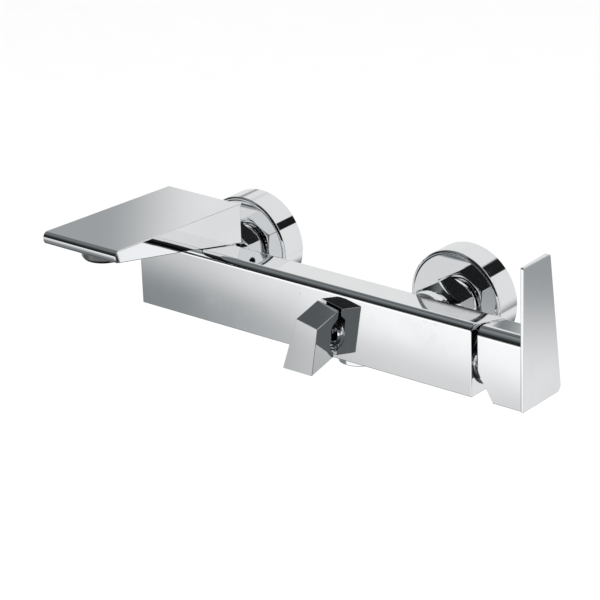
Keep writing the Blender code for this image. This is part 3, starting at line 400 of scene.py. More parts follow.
def honeycomb_group():
    """Hexagonal cells that fill a disc, for the jet plate of an aerator."""
    graph = Graph("Honeycomb disc", [
        ("Radius", "NodeSocketFloat", 0.01),
        ("Cell", "NodeSocketFloat", 0.0024),
        ("Wall", "NodeSocketFloat", 0.0004),
        ("Depth", "NodeSocketFloat", 0.002),
        ("Rows", "NodeSocketInt", 13),
        ("Material", "NodeSocketMaterial", None)])
    row_spacing = math.sqrt(0.75)
    rim_share = 0.62
    cell = graph.given["Cell"]
    rows = graph.given["Rows"]
    reach = graph.math("MULTIPLY", graph.math("SUBTRACT", rows, 1.0), cell)
    grid = graph.node("GeometryNodeMeshGrid", links={
        "Size X": reach, "Size Y": graph.math("MULTIPLY", reach, row_spacing),
        "Vertices X": rows, "Vertices Y": rows})
    index = graph.node("GeometryNodeInputIndex").outputs[0]
    odd = graph.math("MODULO", index, 2.0)
    half_cell = graph.math("MULTIPLY", cell, 0.5)
    shift = graph.node("ShaderNodeCombineXYZ", links={0: graph.math("MULTIPLY", odd, half_cell)})
    moved = graph.node("GeometryNodeSetPosition", links={
        "Geometry": grid.outputs["Mesh"], "Offset": shift.outputs[0]})
    spot = graph.node("GeometryNodeInputPosition").outputs[0]
    far = graph.node("ShaderNodeVectorMath", operation="LENGTH", links={0: spot}).outputs["Value"]
    limit = graph.math("SUBTRACT", graph.given["Radius"], graph.math("MULTIPLY", cell, rim_share))
    outside = graph.math("GREATER_THAN", far, limit)
    kept = graph.node("GeometryNodeDeleteGeometry", domain="POINT", links={
        "Geometry": moved.outputs[0], "Selection": outside})
    rim = graph.node("GeometryNodeCurvePrimitiveCircle", links={
        "Resolution": 6, "Radius": graph.math("MULTIPLY", cell, 1 / math.sqrt(3))})
    section = graph.node("GeometryNodeCurvePrimitiveQuadrilateral", links={
        "Width": graph.given["Wall"], "Height": graph.given["Depth"]})
    ring = graph.node("GeometryNodeCurveToMesh", links={
        "Curve": rim.outputs[0], "Profile Curve": section.outputs[0], "Fill Caps": False})
    spread = graph.node("GeometryNodeInstanceOnPoints", links={
        "Points": kept.outputs[0], "Instance": ring.outputs[0]})
    return graph.end(spread.outputs[0])


def grown(name, tree, values, look, origin, axis):
    """Runs a geometry node group on the given inputs, and keeps the result as a plain mesh in place."""
    made = to_object(bmesh.new(), name)
    step = made.modifiers.new("grow", "NODES")
    step.node_group = tree
    values = {**values, "Material": look}
    for socket in tree.interface.items_tree:
        if socket.in_out == "INPUT" and socket.name in values:
            step[socket.identifier] = values[socket.name]
    settled(made)
    if not made.data.polygons:
        raise RuntimeError(f"{name} came out of its node group empty")
    turn = Vector((0, 0, 1)).rotation_difference(Vector(axis)).to_matrix().to_4x4()
    made.data.transform(Matrix.Translation(Vector(origin) * MM) @ turn)
    return made


# ---------------------------------------------------------------- finishes


class Value:
    """A number that a shader works out; arithmetic on it adds Math nodes."""

    def __init__(self, graph, socket):
        self.graph = graph
        self.socket = socket

    def _with(self, operation, first, second):
        return self.graph.value("ShaderNodeMath", 0, operation=operation, links={0: first, 1: second})

    def __add__(self, other):
        return self._with("ADD", self, other)

    def __sub__(self, other):
        return self._with("SUBTRACT", self, other)

    def __rsub__(self, other):
        return self._with("SUBTRACT", other, self)

    def __mul__(self, other):
        return self._with("MULTIPLY", self, other)

    __radd__ = __add__
    __rmul__ = __mul__


class Shading:
    """The nodes of one material or of the world."""

    def __init__(self, owner):
        owner.use_nodes = True
        self.tree = owner.node_tree

    def feed(self, socket, source):
        """Links a socket to a value or to another socket, or sets it to a constant."""
        if isinstance(source, Value):
            source = source.socket
        if isinstance(source, bpy.types.NodeSocket):
            self.tree.links.new(source, socket)
        else:
            socket.default_value = source

    def node(self, kind, **settings):
        """Adds a node: the entries of links feed its inputs, and the others are the node's own settings."""
        made = self.tree.nodes.new(kind)
        links = settings.pop("links", {})
        for key, value in settings.items():
            setattr(made, key, value)
        for key, source in links.items():
            self.feed(made.inputs[key], source)
        return made

    def value(self, kind, output, **settings):
        return Value(self, self.node(kind, **settings).outputs[output])

    def step(self, value, low, high):
        """0 below low, 1 above high and a smooth curve between them; low may be the larger one."""
        start, end = (low, high) if low < high else (high, low)
        links = {"Value": value, "From Min": start, "From Max": end}
        made = self.value("ShaderNodeMapRange", "Result", interpolation_type="SMOOTHSTEP", links=links)
        return made if low < high else 1 - made

    def mix(self, share, first, second):
        """A blend of two colours."""
        made = self.node("ShaderNodeMix", data_type="RGBA")
        factor, colour_a, colour_b, blend = 0, 6, 7, 2
        for key, source in ((factor, share), (colour_a, first), (colour_b, second)):
            self.feed(made.inputs[key], source)
        return made.outputs[blend]

    def noise(self, scale, detail=3.0, rough=0.55, stretch=(1, 1, 1)):
        """A cloudy pattern on the piece's own coordinates, which are metres in the shared frame."""
        spot = self.node("ShaderNodeTexCoord").outputs["Object"]
        placed = self.node("ShaderNodeMapping", links={"Vector": spot, "Scale": stretch}).outputs[0]
        links = {"Vector": placed, "Scale": scale, "Detail": detail, "Roughness": rough}
        return self.value("ShaderNodeTexNoise", 0, links=links)

    def cells(self, scale):
        """Distance to the nearest of many scattered points."""
        spot = self.node("ShaderNodeTexCoord").outputs["Object"]
        return self.value("ShaderNodeTexVoronoi", 0, links={"Vector": spot, "Scale": scale})

    def bump(self, height, strength, distance):
        links = {"Height": height, "Strength": strength, "Distance": distance}
        return self.node("ShaderNodeBump", links=links).outputs[0]


def finish_of(name, paint):
    """A new material: paint(shading) says what feeds each input of its Principled shader."""
    made = bpy.data.materials.new(name)
    shading = Shading(made)
    shader = shading.tree.nodes["Principled BSDF"]
    for label, source in paint(shading).items():
        shading.feed(shader.inputs[label], source)
    return made


def solid(red, green, blue):
    """A solid colour for a socket."""
    return (red, green, blue, 1.0)


def polished_chrome(shading):
    """Bright plating with a breath of haze, dried drops and hairline wiping marks."""
    looks = bpy.context.scene.faucet_finish
    haze = shading.step(shading.noise(26, 4), 0.42, 0.74)
    grime = shading.step(shading.noise(150, 3), 0.55, 0.8)
    drop = shading.cells(170)
    ring = shading.step(drop, 0.13, 0.16) * shading.step(drop, 0.22, 0.18)
    stain = ring * shading.step(shading.noise(70, 1), 0.62, 0.7)
    wiped = shading.noise(90, 2, 0.6, (14, 2, 1))
    clean = solid(*looks.chrome_colour)
    dull = solid(*[0.95 * channel for channel in looks.chrome_colour])
    return {
        "Metallic": 1.0,
        "Roughness": looks.chrome_roughness + 0.035 * haze + 0.02 * grime + 0.09 * stain + 0.012 * wiped,
        "Base Color": shading.mix(0.5 * haze + 0.3 * stain, clean, dull),
        "Normal": shading.bump(shading.noise(11, 2) + 0.04 * wiped, looks.chrome_waviness, 0.0006),
    }


def satin_chrome(shading):
    """The aerator's cup: rough chrome with fine turning rings, its colour kept much darker than the bar's."""
    rings = shading.noise(70, 2, 0.5, (1, 1, 40))
    return {
        "Metallic": 1.0,
        "Roughness": 0.24 + 0.14 * rings,
        "Base Color": shading.mix(rings, solid(0.17, 0.175, 0.18), solid(0.27, 0.275, 0.28)),
        "Normal": shading.bump(rings, 0.15, 0.0001),
    }


def machined_brass(shading):
    """Turned brass with tool rings and a brown tarnish in patches."""
    rings = shading.noise(60, 2, 0.5, (1, 22, 1))
    tarnish = shading.step(shading.noise(140, 4), 0.45, 0.7)
    return {
        "Metallic": 1.0,
        "Roughness": 0.22 + 0.16 * tarnish + 0.1 * rings,
        "Base Color": shading.mix(tarnish, solid(0.80, 0.62, 0.33), solid(0.52, 0.38, 0.20)),
        "Normal": shading.bump(rings, 0.25, 0.0002),
    }


def brushed_steel(shading):
    """Stainless steel with a fine one-way grain."""
    grain = shading.noise(500, 2, 0.6, (1, 1, 14))
    return {
        "Metallic": 1.0,
        "Roughness": 0.2 + 0.2 * grain,
        "Base Color": shading.mix(grain, solid(0.58, 0.58, 0.57), solid(0.74, 0.74, 0.73)),
        "Normal": shading.bump(grain, 0.2, 0.0001),
    }


def black_rubber(shading):
    """Matt rubber with a moulding grain and a trace of pale bloom."""
    grain = shading.noise(900, 3)
    bloom = shading.step(shading.noise(120, 3), 0.5, 0.75)
    return {
        "Roughness": 0.62 + 0.2 * grain,
        "Base Color": shading.mix(bloom, solid(0.018, 0.018, 0.019), solid(0.05, 0.05, 0.052)),
        "Normal": shading.bump(grain, 0.35, 0.0002),
    }


def lapped_ceramic(shading):
    """Alumina, lapped nearly to a gloss, with faint speckle."""
    speckle = shading.step(shading.noise(1400, 2), 0.55, 0.7)
    return {
        "Roughness": 0.16 + 0.12 * speckle,
        "Base Color": shading.mix(speckle, solid(0.90, 0.89, 0.86), solid(0.80, 0.78, 0.74)),
        "Normal": shading.bump(speckle, 0.08, 0.0001),
    }


def moulded_plastic(shading):
    """Off-white acetal with a satin moulding texture."""
    texture = shading.noise(650, 3)
    flow = shading.noise(35, 2)
    return {
        "Roughness": 0.36 + 0.2 * texture,
        "Base Color": shading.mix(flow, solid(0.80, 0.80, 0.77), solid(0.70, 0.70, 0.68)),
        "Normal": shading.bump(texture, 0.15, 0.0002),
    }


FINISHES = {
    "chrome": polished_chrome, "brass": machined_brass, "stainless_steel": brushed_steel,
    "rubber": black_rubber, "ceramic": lapped_ceramic, "plastic": moulded_plastic,
}


def finish_named(slot):
    """The finished material for one of the record's slots, made the first time it is asked for."""
    name = slot + "_finish"
    return bpy.data.materials.get(name) or finish_of(name, FINISHES[slot])


# ---------------------------------------------------------------- wall side


def flange(side, x):
    """A drawn cup that hides the hole in the wall."""
    radius = bpy.context.scene.faucet_sizes.flange_radius / MM
    front = span(side + "_flange", 1)[0]
    hole, skin, dish = 13.6, 1.2, 0.5
    profile = [
        (hole, front + dish), (radius - 2.2, front + dish), (radius - 1.6, front), (radius - 0.9, front),
        (radius, front + 0.9), (radius, 0), (radius - skin, 0), (radius - skin, front + dish + skin),
        (hole, front + dish + skin)]
    made = turned(side + "_flange_cup", eased(profile, 0.8, 5), (0, 1, 0), (x, 0, 0), 192)
    piece(made, finish_named("chrome"), "base", "chrome", side + "_flange")


def eccentric(side, x, tree):
    """The offset wall connector: two turned cores, bored through, with a helical ridge on each."""
    look = finish_named("chrome")
    throw, wall = 4.5, 3.2
    face = span(side + "_eccentric", 1)[0]
    root = UNION_THREAD - 0.9
    shoulder = UNION_THREAD - 0.2
    core = [(0, face), (root, face), (root, -18.5), (shoulder, -18.0), (shoulder, -3.0), (0, -3.0)]
    made = turned(side + "_wall_connector", eased(core, 0.3), (0, 1, 0), (x, 0, 0), 96)
    root = PIPE_THREAD - 0.8
    core = [(0, -8.0), (root, -8.0), (root, 21.4), (root - 0.4, 22.0), (0, 22.0)]
    join(made, turned("back_core", core, (0, 1, 0), (x, 0, -throw), 96))
    cut(made, rod("front_bore", UNION_THREAD - 0.9 - wall, face - 5, -6.2, (0, 1, 0), (x, 0, 0)),
        rod("back_bore", PIPE_THREAD - 0.4 - wall, -10.0, 27, (0, 1, 0), (x, 0, -throw)))
    piece(made, look, "base", "chrome", side + "_eccentric")
    threads = (("union", UNION_THREAD, face + 1.2, 7.2, 0), ("pipe", PIPE_THREAD, 2.2, 18.0, throw))
    for part, radius, start, length, drop in threads:
        values = {"Radius": (radius - 0.85) * MM, "Pitch": THREAD_PITCH * MM, "Depth": 0.8 * MM,
                  "Turns": length / THREAD_PITCH}
        ridge = grown(f"{side}_{part}_thread", tree, values, look, (x, start, -drop), (0, 1, 0))
        piece(ridge, look, "base", "chrome")


def union_nut(side, x):
    """A hexagon nut, turned to a slope on both ends, with a bore for the tail and one for the thread."""
    flat = width(side + "_union_nut", 0) / 2
    radius = flat * 2 / math.sqrt(3)
    steps = [math.pi / 6 + math.pi * k / 3 for k in range(6)]
    outline = [(x + radius * math.cos(a), radius * math.sin(a)) for a in steps]
    nut = prism(side + "_hexagon_nut", rounded(outline, [0.5] * 6, 4), "Y", NUT_FRONT, NUT_BACK)
    clear = radius + 0.6
    barrel = [
        (0, NUT_FRONT - 1), (flat - 2.0, NUT_FRONT - 1), (flat - 2.0, NUT_FRONT), (clear, NUT_FRONT + 4.2),
        (clear, NUT_BACK - 1.2), (flat - 0.3, NUT_BACK), (flat - 0.3, NUT_BACK + 1), (0, NUT_BACK + 1)]
    combine(nut, [turned("barrel", barrel, (0, 1, 0), (x, 0, 0))], "INTERSECT")
    hole, bore, lip = 11.1, 13.4, NUT_FRONT + NUT_LIP
    inside = [
        (0, NUT_FRONT - 3), (hole + 1.5, NUT_FRONT - 3), (hole + 0.5, NUT_FRONT), (hole, NUT_FRONT + 0.5),
        (hole, lip), (bore, lip), (bore, NUT_BACK - 0.5), (bore + 0.5, NUT_BACK),
        (bore + 1.5, NUT_BACK + 3), (0, NUT_BACK + 3)]
    cut(nut, turned("nut_bore", inside, (0, 1, 0), (x, 0, 0)))
    piece(nut, finish_named("chrome"), "base", "chrome", side + "_union_nut")


def inlet_tail(side, x):
    """The collared tail that the union nut pulls towards the wall."""
    start, end = span(side + "_inlet_nipple", 1)
    neck, collar, bore = 10.8, 12.5, 7.2
    front, shoulder = BOSS_FACE + GAP, NUT_FRONT + NUT_LIP + GAP
    profile = [
        (bore, start), (TAIL_THREAD - 0.5, start), (TAIL_THREAD, start + 0.5), (TAIL_THREAD, front),
        (neck, front), (neck, shoulder), (collar, shoulder), (collar, end), (bore, end)]
    made = turned(side + "_inlet_tail", eased(profile, 0.3), (0, 1, 0), (x, 0, 0))
    piece(made, finish_named("chrome"), "base", "chrome", side + "_inlet_nipple")


# ---------------------------------------------------------------- bar


def bar_section(fillet):
    """The bar's outline from the side: an upright front, a sloping top and a round back edge."""
    top_back = (BAR_BACK, bar_top_at(BAR_BACK))
    corners = [(BAR_FRONT, BAR_BOTTOM), (BAR_BACK, BAR_BOTTOM), top_back, (BAR_FRONT, BAR_TOP)]
    return rounded(corners, [0, 2.5, 10.0, fillet], 24)


def bar_shell():
    """The cast bar, with the bores that its visible fittings and the cartridge sit in."""
    edge = bpy.context.scene.faucet_sizes.edge_radius / MM
    bar = prism("bar_shell", bar_section(4.0), "X", BAR_LEFT, BAR_RIGHT, edge)
    waterway, waterway_depth = 7.5, 11
    bore = TAIL_THREAD + GAP
    socket = span("left_inlet_nipple", 1)[0] - GAP
    inlet = [
        (0, socket - waterway_depth), (waterway, socket - waterway_depth), (waterway, socket),
        (bore, socket), (bore, BOSS_FACE + 3), (0, BOSS_FACE + 3)]
    cuts = []
    for x in INLET_XS:
        join(bar, rod("boss", BOSS_RADIUS, BAR_BACK - 1.5, BOSS_FACE, (0, 1, 0), (x, 0, 0)))
        cuts.append(turned("inlet", inlet, (0, 1, 0), (x, 0, 0), 96))
    chamber = [
        (0, CART_BASE), (CART_BORE, CART_BASE), (CART_BORE, CART_TOP), (NUT_BORE, CART_TOP),
        (NUT_BORE, BAR_RIGHT + 4), (0, BAR_RIGHT + 4)]
    cuts.append(turned("chamber", chamber, (1, 0, 0), (0, AXIS_Y, AXIS_Z)))
    cuts.append(block("duct", (BAR_LEFT - 3, DIVERTER_X - DIVERTER_RADIUS - 6), DUCT_Y, DUCT_Z))
    centre = (DIVERTER_X, 0, DIVERTER_Z)
    cuts.append(rod("diverter", DIVERTER_RADIUS, BAR_FRONT - 3, DUCT_Y[1], (0, 1, 0), centre))
    seat, way_end = 11.3, DIVERTER_Z - 4
    outlet = [
        (0, BAR_BOTTOM - 3), (seat, BAR_BOTTOM - 3), (seat, OUTLET_SEAT), (OUTLET_BORE, OUTLET_SEAT),
        (OUTLET_BORE, way_end), (0, way_end)]
    cuts.append(turned("outlet", outlet, (0, 0, 1), (OUTLET_X, AXIS_Y, 0)))
    cuts.append(rod("nipple", NIPPLE_BORE, -9.0, 6.0, SLOPE_UP, NIPPLE_FOOT))
    cut(bar, *cuts)
    piece(bar, finish_named("chrome"), "base", "chrome", "bar_body")


# ---------------------------------------------------------------- spout


def spout_shell():
    """The hollow wedge that stands on the bar's left end and reaches out over the bath."""
    edge = bpy.context.scene.faucet_sizes.edge_radius / MM
    lift = GAP * math.sqrt(1 + TOP_SLOPE ** 2)
    back_top = bar_top_at(SPOUT_BACK) + 24.0
    climb, wall = 0.05, 2.5

    def top_at(y):
        return back_top + climb * (SPOUT_BACK - y)

    corners = [
        (SPOUT_BACK, bar_top_at(SPOUT_BACK) + lift), (SPOUT_BACK, back_top), (SPOUT_NOSE, top_at(SPOUT_NOSE)),
        (SPOUT_NOSE, bar_top_at(SPOUT_NOSE) - 0.6), (BAR_FRONT, bar_top_at(BAR_FRONT) + lift)]
    outline = rounded(corners, [0, 0, 3.2, 2.8, 0], 16)
    shell = prism("spout_shell", outline, "X", SPOUT_LEFT, SPOUT_RIGHT, edge)
    root, tip = NIPPLE_Y + 9.5, AERATOR_Y - 11.0
    hollow = [
        (root, bar_top_at(root) + lift + wall), (root, top_at(root) - wall), (tip, top_at(tip) - wall),
        (tip, bar_top_at(tip) + wall)]
    core = prism("core", hollow, "X", SPOUT_LEFT + wall, SPOUT_RIGHT - wall)
    mouth = (SPOUT_MID, AERATOR_Y, 0)
    seat = rod("seat", AERATOR_RADIUS + GAP, AERATOR_FLOOR - 5, AERATOR_CEILING, (0, 0, 1), mouth)
    boss_room = BOSS_RADIUS + GAP
    boss = rod("boss", boss_room, BAR_BACK - 3, BOSS_FACE + 3, (0, 1, 0), (INLET_XS[0], 0, 0))
    bore = rod("bore", NIPPLE_BORE, -6.0, 8.3, SLOPE_UP, NIPPLE_FOOT)
    groove = rod("groove", 10.9, -6.0, 2.6, SLOPE_UP, NIPPLE_FOOT)
    screw_at = (SPOUT_MID, 0, NIPPLE_FOOT[2] + 5.0)
    screw = rod("screw", SCREW_BORE, NIPPLE_Y, SPOUT_BACK + 3, (0, 1, 0), screw_at, 48)
    cut(shell, core, seat, boss, bore, groove, screw)
    piece(shell, finish_named("chrome"), "base", "chrome", "spout_body")


def aerator(tree):
    """A turned housing with a honeycomb jet plate in its mouth."""
    wall, seal, lip = 2.2, 2.2, 1.4
    floor, top = AERATOR_FLOOR, AERATOR_CEILING - seal
    centre = (SPOUT_MID, AERATOR_Y, 0)
    outer, inner = AERATOR_RADIUS, AERATOR_RADIUS - wall
    profile = [
        (inner - lip, floor), (outer - 1.0, floor), (outer, floor + 1.6), (outer, top), (inner, top),
        (inner, floor + lip), (inner - lip, floor + lip)]
    housing = turned("aerator_cup", eased(profile, 0.4), (0, 0, 1), centre)
    piece(housing, finish_of("satin_chrome_finish", satin_chrome), "base", "chrome", "aerator_housing")
    low, high = span("aerator_insert", 2)
    hole, edge = inner - 1.5, inner - 0.4
    plate = [(hole, low), (edge, low), (edge, high), (hole, high)]
    rim = turned("aerator_plate_rim", plate, (0, 0, 1), centre)
    look = finish_named("plastic")
    piece(rim, look, "base", "plastic", "aerator_insert")
    values = {"Radius": (inner - 1.0) * MM, "Cell": 2.2 * MM, "Wall": 0.35 * MM, "Depth": (high - low) * MM,
              "Rows": bpy.context.scene.faucet_sizes.honeycomb_rows}
    middle_height = (SPOUT_MID, AERATOR_Y, (low + high) / 2)
    cells = grown("aerator_honeycomb", tree, values, look, middle_height, (0, 0, 1))
    piece(cells, look, "base", "plastic")


# ---------------------------------------------------------------- lever


def trim_collar():
    """The stepped ring that closes the bar round the cartridge."""
    rim, spigot, flare = 11.45, NUT_BORE - GAP, NUT_BORE + 1.2
    seat, face = span("trim_collar", 0)
    step = BAR_RIGHT + GAP
    profile = [
        (rim, seat), (spigot, seat), (spigot, step), (flare, step), (flare, step + 0.8),
        (flare - 0.8, face - 0.4), (rim + 1.0, face), (rim, face - 0.6)]
    made = turned("collar_ring", eased(profile, 0.25), (1, 0, 0), (0, AXIS_Y, AXIS_Z))
    piece(made, finish_named("chrome"), "base", "chrome", "trim_collar")


def handle_shell():
    """The hub that continues the bar, and the thin lever plate on its outer end."""
    edge = bpy.context.scene.faucet_sizes.edge_radius / MM
    foot, low, high = BAR_BOTTOM - 0.3, BAR_BACK - 0.4, BAR_FRONT + 24.8
    lean = (high - low) / (LEVER_TOP - foot)
    back_foot = low - 0.5 + lean * (BAR_BOTTOM - foot)
    back_level = low - 0.5 - lean * foot
    top = (BAR_TOP + TOP_SLOPE * (BAR_FRONT - back_level)) / (1 + TOP_SLOPE * lean)
    back_top = (back_level + lean * top, top)
    corners = [(BAR_FRONT, BAR_BOTTOM), (back_foot, BAR_BOTTOM), back_top, (BAR_FRONT, BAR_TOP)]
    section = rounded(corners, [0, 3.0, 6.0, 5.5], 24)
    hub = prism("handle_shell", section, "X", HUB_LEFT, HUB_RIGHT + 0.6, edge)
    taper, reach = 1.4, low - BAR_FRONT

    def inner_face(y, z):
        return HUB_RIGHT - taper * (y - BAR_FRONT) / reach

    corners = [(BAR_FRONT, foot), (low, foot), (high, LEVER_TOP), (BAR_FRONT, LEVER_TOP)]
    outline = rounded(corners, [0.4, 3.5, 1.6, 0.8], 12)
    join(hub, prism("lever", outline, "X", inner_face, LEVER_OUTER, 0.35))
    stem_end = span("cartridge_stem", 0)[1]
    bore, wall_x, boss, boss_x = 12.45, HUB_RIGHT - 3.5, 6.4426, HUB_LEFT + 6.5
    hollow = [
        (0, HUB_LEFT - 5), (bore, HUB_LEFT - 5), (bore, wall_x), (boss, wall_x), (boss, boss_x), (0, boss_x)]
    cavity = turned("cavity", hollow, (1, 0, 0), (0, AXIS_Y, AXIS_Z))
    half = 3.0 + GAP
    ys, zs = (AXIS_Y - half, AXIS_Y + half), (AXIS_Z - half, AXIS_Z + half)
    socket = block("socket", (boss_x - 3, stem_end + 1.0), ys, zs)
    # How far the hub's left face is scooped out, as (depth, height over the bar's bottom)
    scoop = [
        (-0.05, 19.0), (0.8, 15.8), (2.4, 12.3), (5.3, 7.6), (9.3, 1.0), (10.8, -1.5), (-4, -1.5), (-4, 19.0)]
    curve = [(HUB_LEFT + depth, BAR_BOTTOM + height) for depth, height in scoop]
    relief = prism("relief", curve, "Y", BAR_FRONT - 5, BAR_BACK + 5)
    screw_at = ((boss_x + stem_end) / 2, AXIS_Y, AXIS_Z)
    screw = rod("screw", SCREW_BORE, BAR_BOTTOM - AXIS_Z - 6, 0, (0, 0, 1), screw_at, 48)
    cut(hub, cavity, relief, socket, screw)
    piece(hub, finish_named("chrome"), "lever", "chrome", "handle")


# ---------------------------------------------------------------- diverter and outlet


def diverter_bonnet():
    """The turned nose piece that closes the diverter's chamber."""
    radius, bore, seat = DIVERTER_RADIUS - GAP, SPINDLE_RADIUS + GAP, 6.2
    back, front = BAR_FRONT + 7.5, BAR_FRONT - 2.2
    nose, floor = radius - 1.8, back - 2.6
    profile = [
        (bore, front), (nose - 0.8, front), (nose, front + 0.6), (nose, BAR_FRONT), (radius, BAR_FRONT + 0.2),
        (radius, back), (seat, back), (seat, floor), (bore, floor)]
    made = turned("bonnet_ring", eased(profile, 0.25), (0, 1, 0), (DIVERTER_X, 0, DIVERTER_Z))
    piece(made, finish_named("chrome"), "base", "chrome", "diverter_bonnet")


def knob_shell():
    """A sheared, four-sided grip: its front sits lower than its back and widens downwards."""
    front, back = span("diverter_knob", 1)
    # The front face's corners, as (sideways, height) from the spindle's axis
    corners = [(-5.8, 12.0), (8.5, 9.1), (3.7, -19.5), (-16.4, -19.5)]
    shear, lift, flat = 0.9, 5.0, math.radians(0.5)
    bm = bmesh.new()
    for dx, dz in corners:
        bm.verts.new(Vector((DIVERTER_X + dx, front, DIVERTER_Z + dz)) * MM)
        bm.verts.new(Vector((DIVERTER_X + dx + shear, back, DIVERTER_Z + dz + lift)) * MM)
    bmesh.ops.convex_hull(bm, input=bm.verts)
    bmesh.ops.dissolve_limit(bm, angle_limit=flat, verts=bm.verts, edges=bm.edges)
    soften(bm, 0.3, 4)
    knob = to_object(bm, "knob_shell")
    centre = (DIVERTER_X, 0, DIVERTER_Z)
    spindle_front = span("diverter_spindle", 1)[0]
    mouth, seat, floor_y = DIVERTER_RADIUS + 2.8, DIVERTER_RADIUS - GAP - 1.3, back - 4.2
    cone = [(0, back + 2), (mouth, back + 2), (seat, floor_y), (0, floor_y)]
    bore = rod("bore", SPINDLE_RADIUS + GAP, spindle_front - 0.6, back, (0, 1, 0), centre)
    screw_at = (DIVERTER_X, (spindle_front + back) / 2 - 2.4, DIVERTER_Z)
    screw = rod("screw", 2.05, -30, 0, (0, 0, 1), screw_at, 48)
    cut(knob, turned("cone", cone, (0, 1, 0), centre), bore, screw)
    piece(knob, finish_named("chrome"), "diverter", "chrome", "diverter_knob")


def outlet_ring():
    """The short turned outlet under the bar that takes the shower hose."""
    low, neck_top = span("shower_outlet", 2)
    top, outer = BAR_BOTTOM - GAP, 12.8
    neck, socket, socket_top = outer - 1.8, outer - 3.5, neck_top - 1.4
    profile = [
        (OUTLET_BORE, neck_top), (neck, neck_top), (neck, top), (outer, top), (outer, low), (socket, low),
        (socket, socket_top), (OUTLET_BORE, socket_top)]
    made = turned("outlet_ring", eased(profile, 0.5), (0, 0, 1), (OUTLET_X, AXIS_Y, 0))
    piece(made, finish_named("chrome"), "base", "chrome", "shower_outlet")


# ---------------------------------------------------------------- pieces shown as the CAD has them


def carried_over():
    """Gives the frame's own pieces their finishes, and welds their doubled points."""
    slots = {row["slot"] for row in frame["record"]["materials"]}
    for node, shown in frame["nodes"].items():
        if shown.hide_render:
            continue
        slot = shown.data.materials[0].name.split(".")[0]
        if slot not in slots:
            raise RuntimeError(f"{node} has the finish {slot}, which the record does not list")
        shown.data.materials[0] = finish_named(slot)
        weld = shown.modifiers.new("weld", "WELD")
        weld.merge_threshold = 1e-6


# ---------------------------------------------------------------- studio


class Room(Shading):
    """A room drawn by direction only: turn and rise are the degrees round from +X and up from level."""

    def __init__(self, world):
        super().__init__(world)
        toward = self.node("ShaderNodeTexCoord").outputs["Generated"]
        split = self.node("ShaderNodeSeparateXYZ", links={0: toward})
        x, self.y, z = (Value(self, split.outputs[k]) for k in range(3))
        degrees = math.degrees(1)
        self.turn = self.value("ShaderNodeMath", 0, operation="ARCTAN2", links={0: self.y, 1: x}) * degrees
        self.rise = self.value("ShaderNodeMath", 0, operation="ARCSINE", links={0: z}) * degrees

    def only(self, value, low, high, blur):
        """1 between low and high, falling to 0 over blur on both sides."""
        return self.step(value, low - blur, low) * self.step(value, high + blur, high)

    def front(self):
        """The half in front of the wall: a lit panel over the floor, under a nearly black ceiling."""
        turn, rise, step, only = self.turn, self.rise, self.step, self.only
        panel = 0.24 + 0.46 * step(turn, -133.8, -126.5)
        slant = rise - 0.33 * (-125.7 - turn)
        glow = panel + 0.34 * step(slant, -24.7, -23.5) + 0.15 * step(rise, -20.5, -16)
        # The right side is dark but for one low opening, and everything far below is dim
        right = step(turn, -120, -112) * (1 - step(turn, -30, -42) * only(rise, -25, -18, 4))
        glow = glow * (1 - 0.88 * right) * (0.15 + 0.85 * step(rise, -58, -38))
        # The ceiling, with a small bright gap over the panel
        above = (0.02 + 0.32 * step(rise, 22, 76)) * (0.12 + 0.88 * step(turn, -100, -120))
        above = above + 0.68 * only(turn, -125.5, -119.5, 0.5) * only(rise, 1.4, 3.4, 0.4)
        return glow + step(rise, -3.2, -1.4) * (above - glow)

    def back(self):
        """The half behind the wall's plane: pale, with dark bars that draw lines on the round pieces."""
        turn, rise, step, only = self.turn, self.rise, self.step, self.only
        pale = 0.80 - 0.42 * step(turn, 129.9, 132.4) * step(rise, 8, 14)
        pale = pale * (1 - 0.56 * step(rise, 27, 46) * step(turn, 116, 123)) * (1 - 0.6 * step(rise, 48, 70))
        # One black bar for each flange
        left_bar = only(rise, 20.5, 30, 1) * only(turn - 0.6 * (rise - 20.5), 45, 52.8, 0.6)
        right_bar = only(rise, 28.5, 38.5, 1) * only(turn - 1.3 * (rise - 28.5), 57.8, 68, 1)
        pale = pale * (1 - 0.985 * left_bar) * (1 - 0.985 * right_bar)
        # A grey shelf low on the right
        shelf = step(turn, 50, 55) * step(turn, 90, 70) * step(rise, -24.4, -22) * step(rise, -8, -14)
        pale = pale * (1 - 0.55 * shelf)
        # The patch that greys the hub's top
        patch = only(turn, 120.5, 121.8, 0.3) * (0.3 + 0.4 * step(turn, 121, 121.8))
        pale = pale * (1 - patch * only(rise, -3, 9, 3))
        return pale * (0.12 + 0.88 * step(rise, -42, -29))


def surroundings():
    """A room that only the chrome sees, and an even fill that lights everything else."""
    looks = bpy.context.scene.faucet_studio
    world = bpy.data.worlds.new("studio")
    bpy.context.scene.world = world
    room = Room(world)
    output = room.tree.nodes["World Output"]
    room.tree.nodes.remove(room.tree.nodes["Background"])
    ahead = room.step(room.y, 0.12, -0.08)
    front, back = room.front(), room.back()
    seen = back + ahead * (front - back)
    tint = room.mix(room.step(seen, 0.1, 0.7), solid(0.88, 0.96, 1.0), solid(1.0, 1.0, 1.0))
    shown = room.node("ShaderNodeBackground", links={"Color": tint, "Strength": seen})
    plain = room.node("ShaderNodeBackground", links={"Color": solid(1, 1, 1), "Strength": looks.fill})
    ray = room.node("ShaderNodeLightPath").outputs["Is Glossy Ray"]
    both = room.node("ShaderNodeMixShader", links={0: ray, 1: plain.outputs[0], 2: shown.outputs[0]})
    room.feed(output.inputs["Surface"], both.outputs[0])


def pale_paper(shading):
    """Off-white paper with a barely visible tooth."""
    tooth = shading.noise(30, 3)
    return {
        "Roughness": 0.85 + 0.1 * tooth,
        "Base Color": shading.mix(tooth, solid(0.90, 0.90, 0.90), solid(0.92, 0.92, 0.92)),
    }


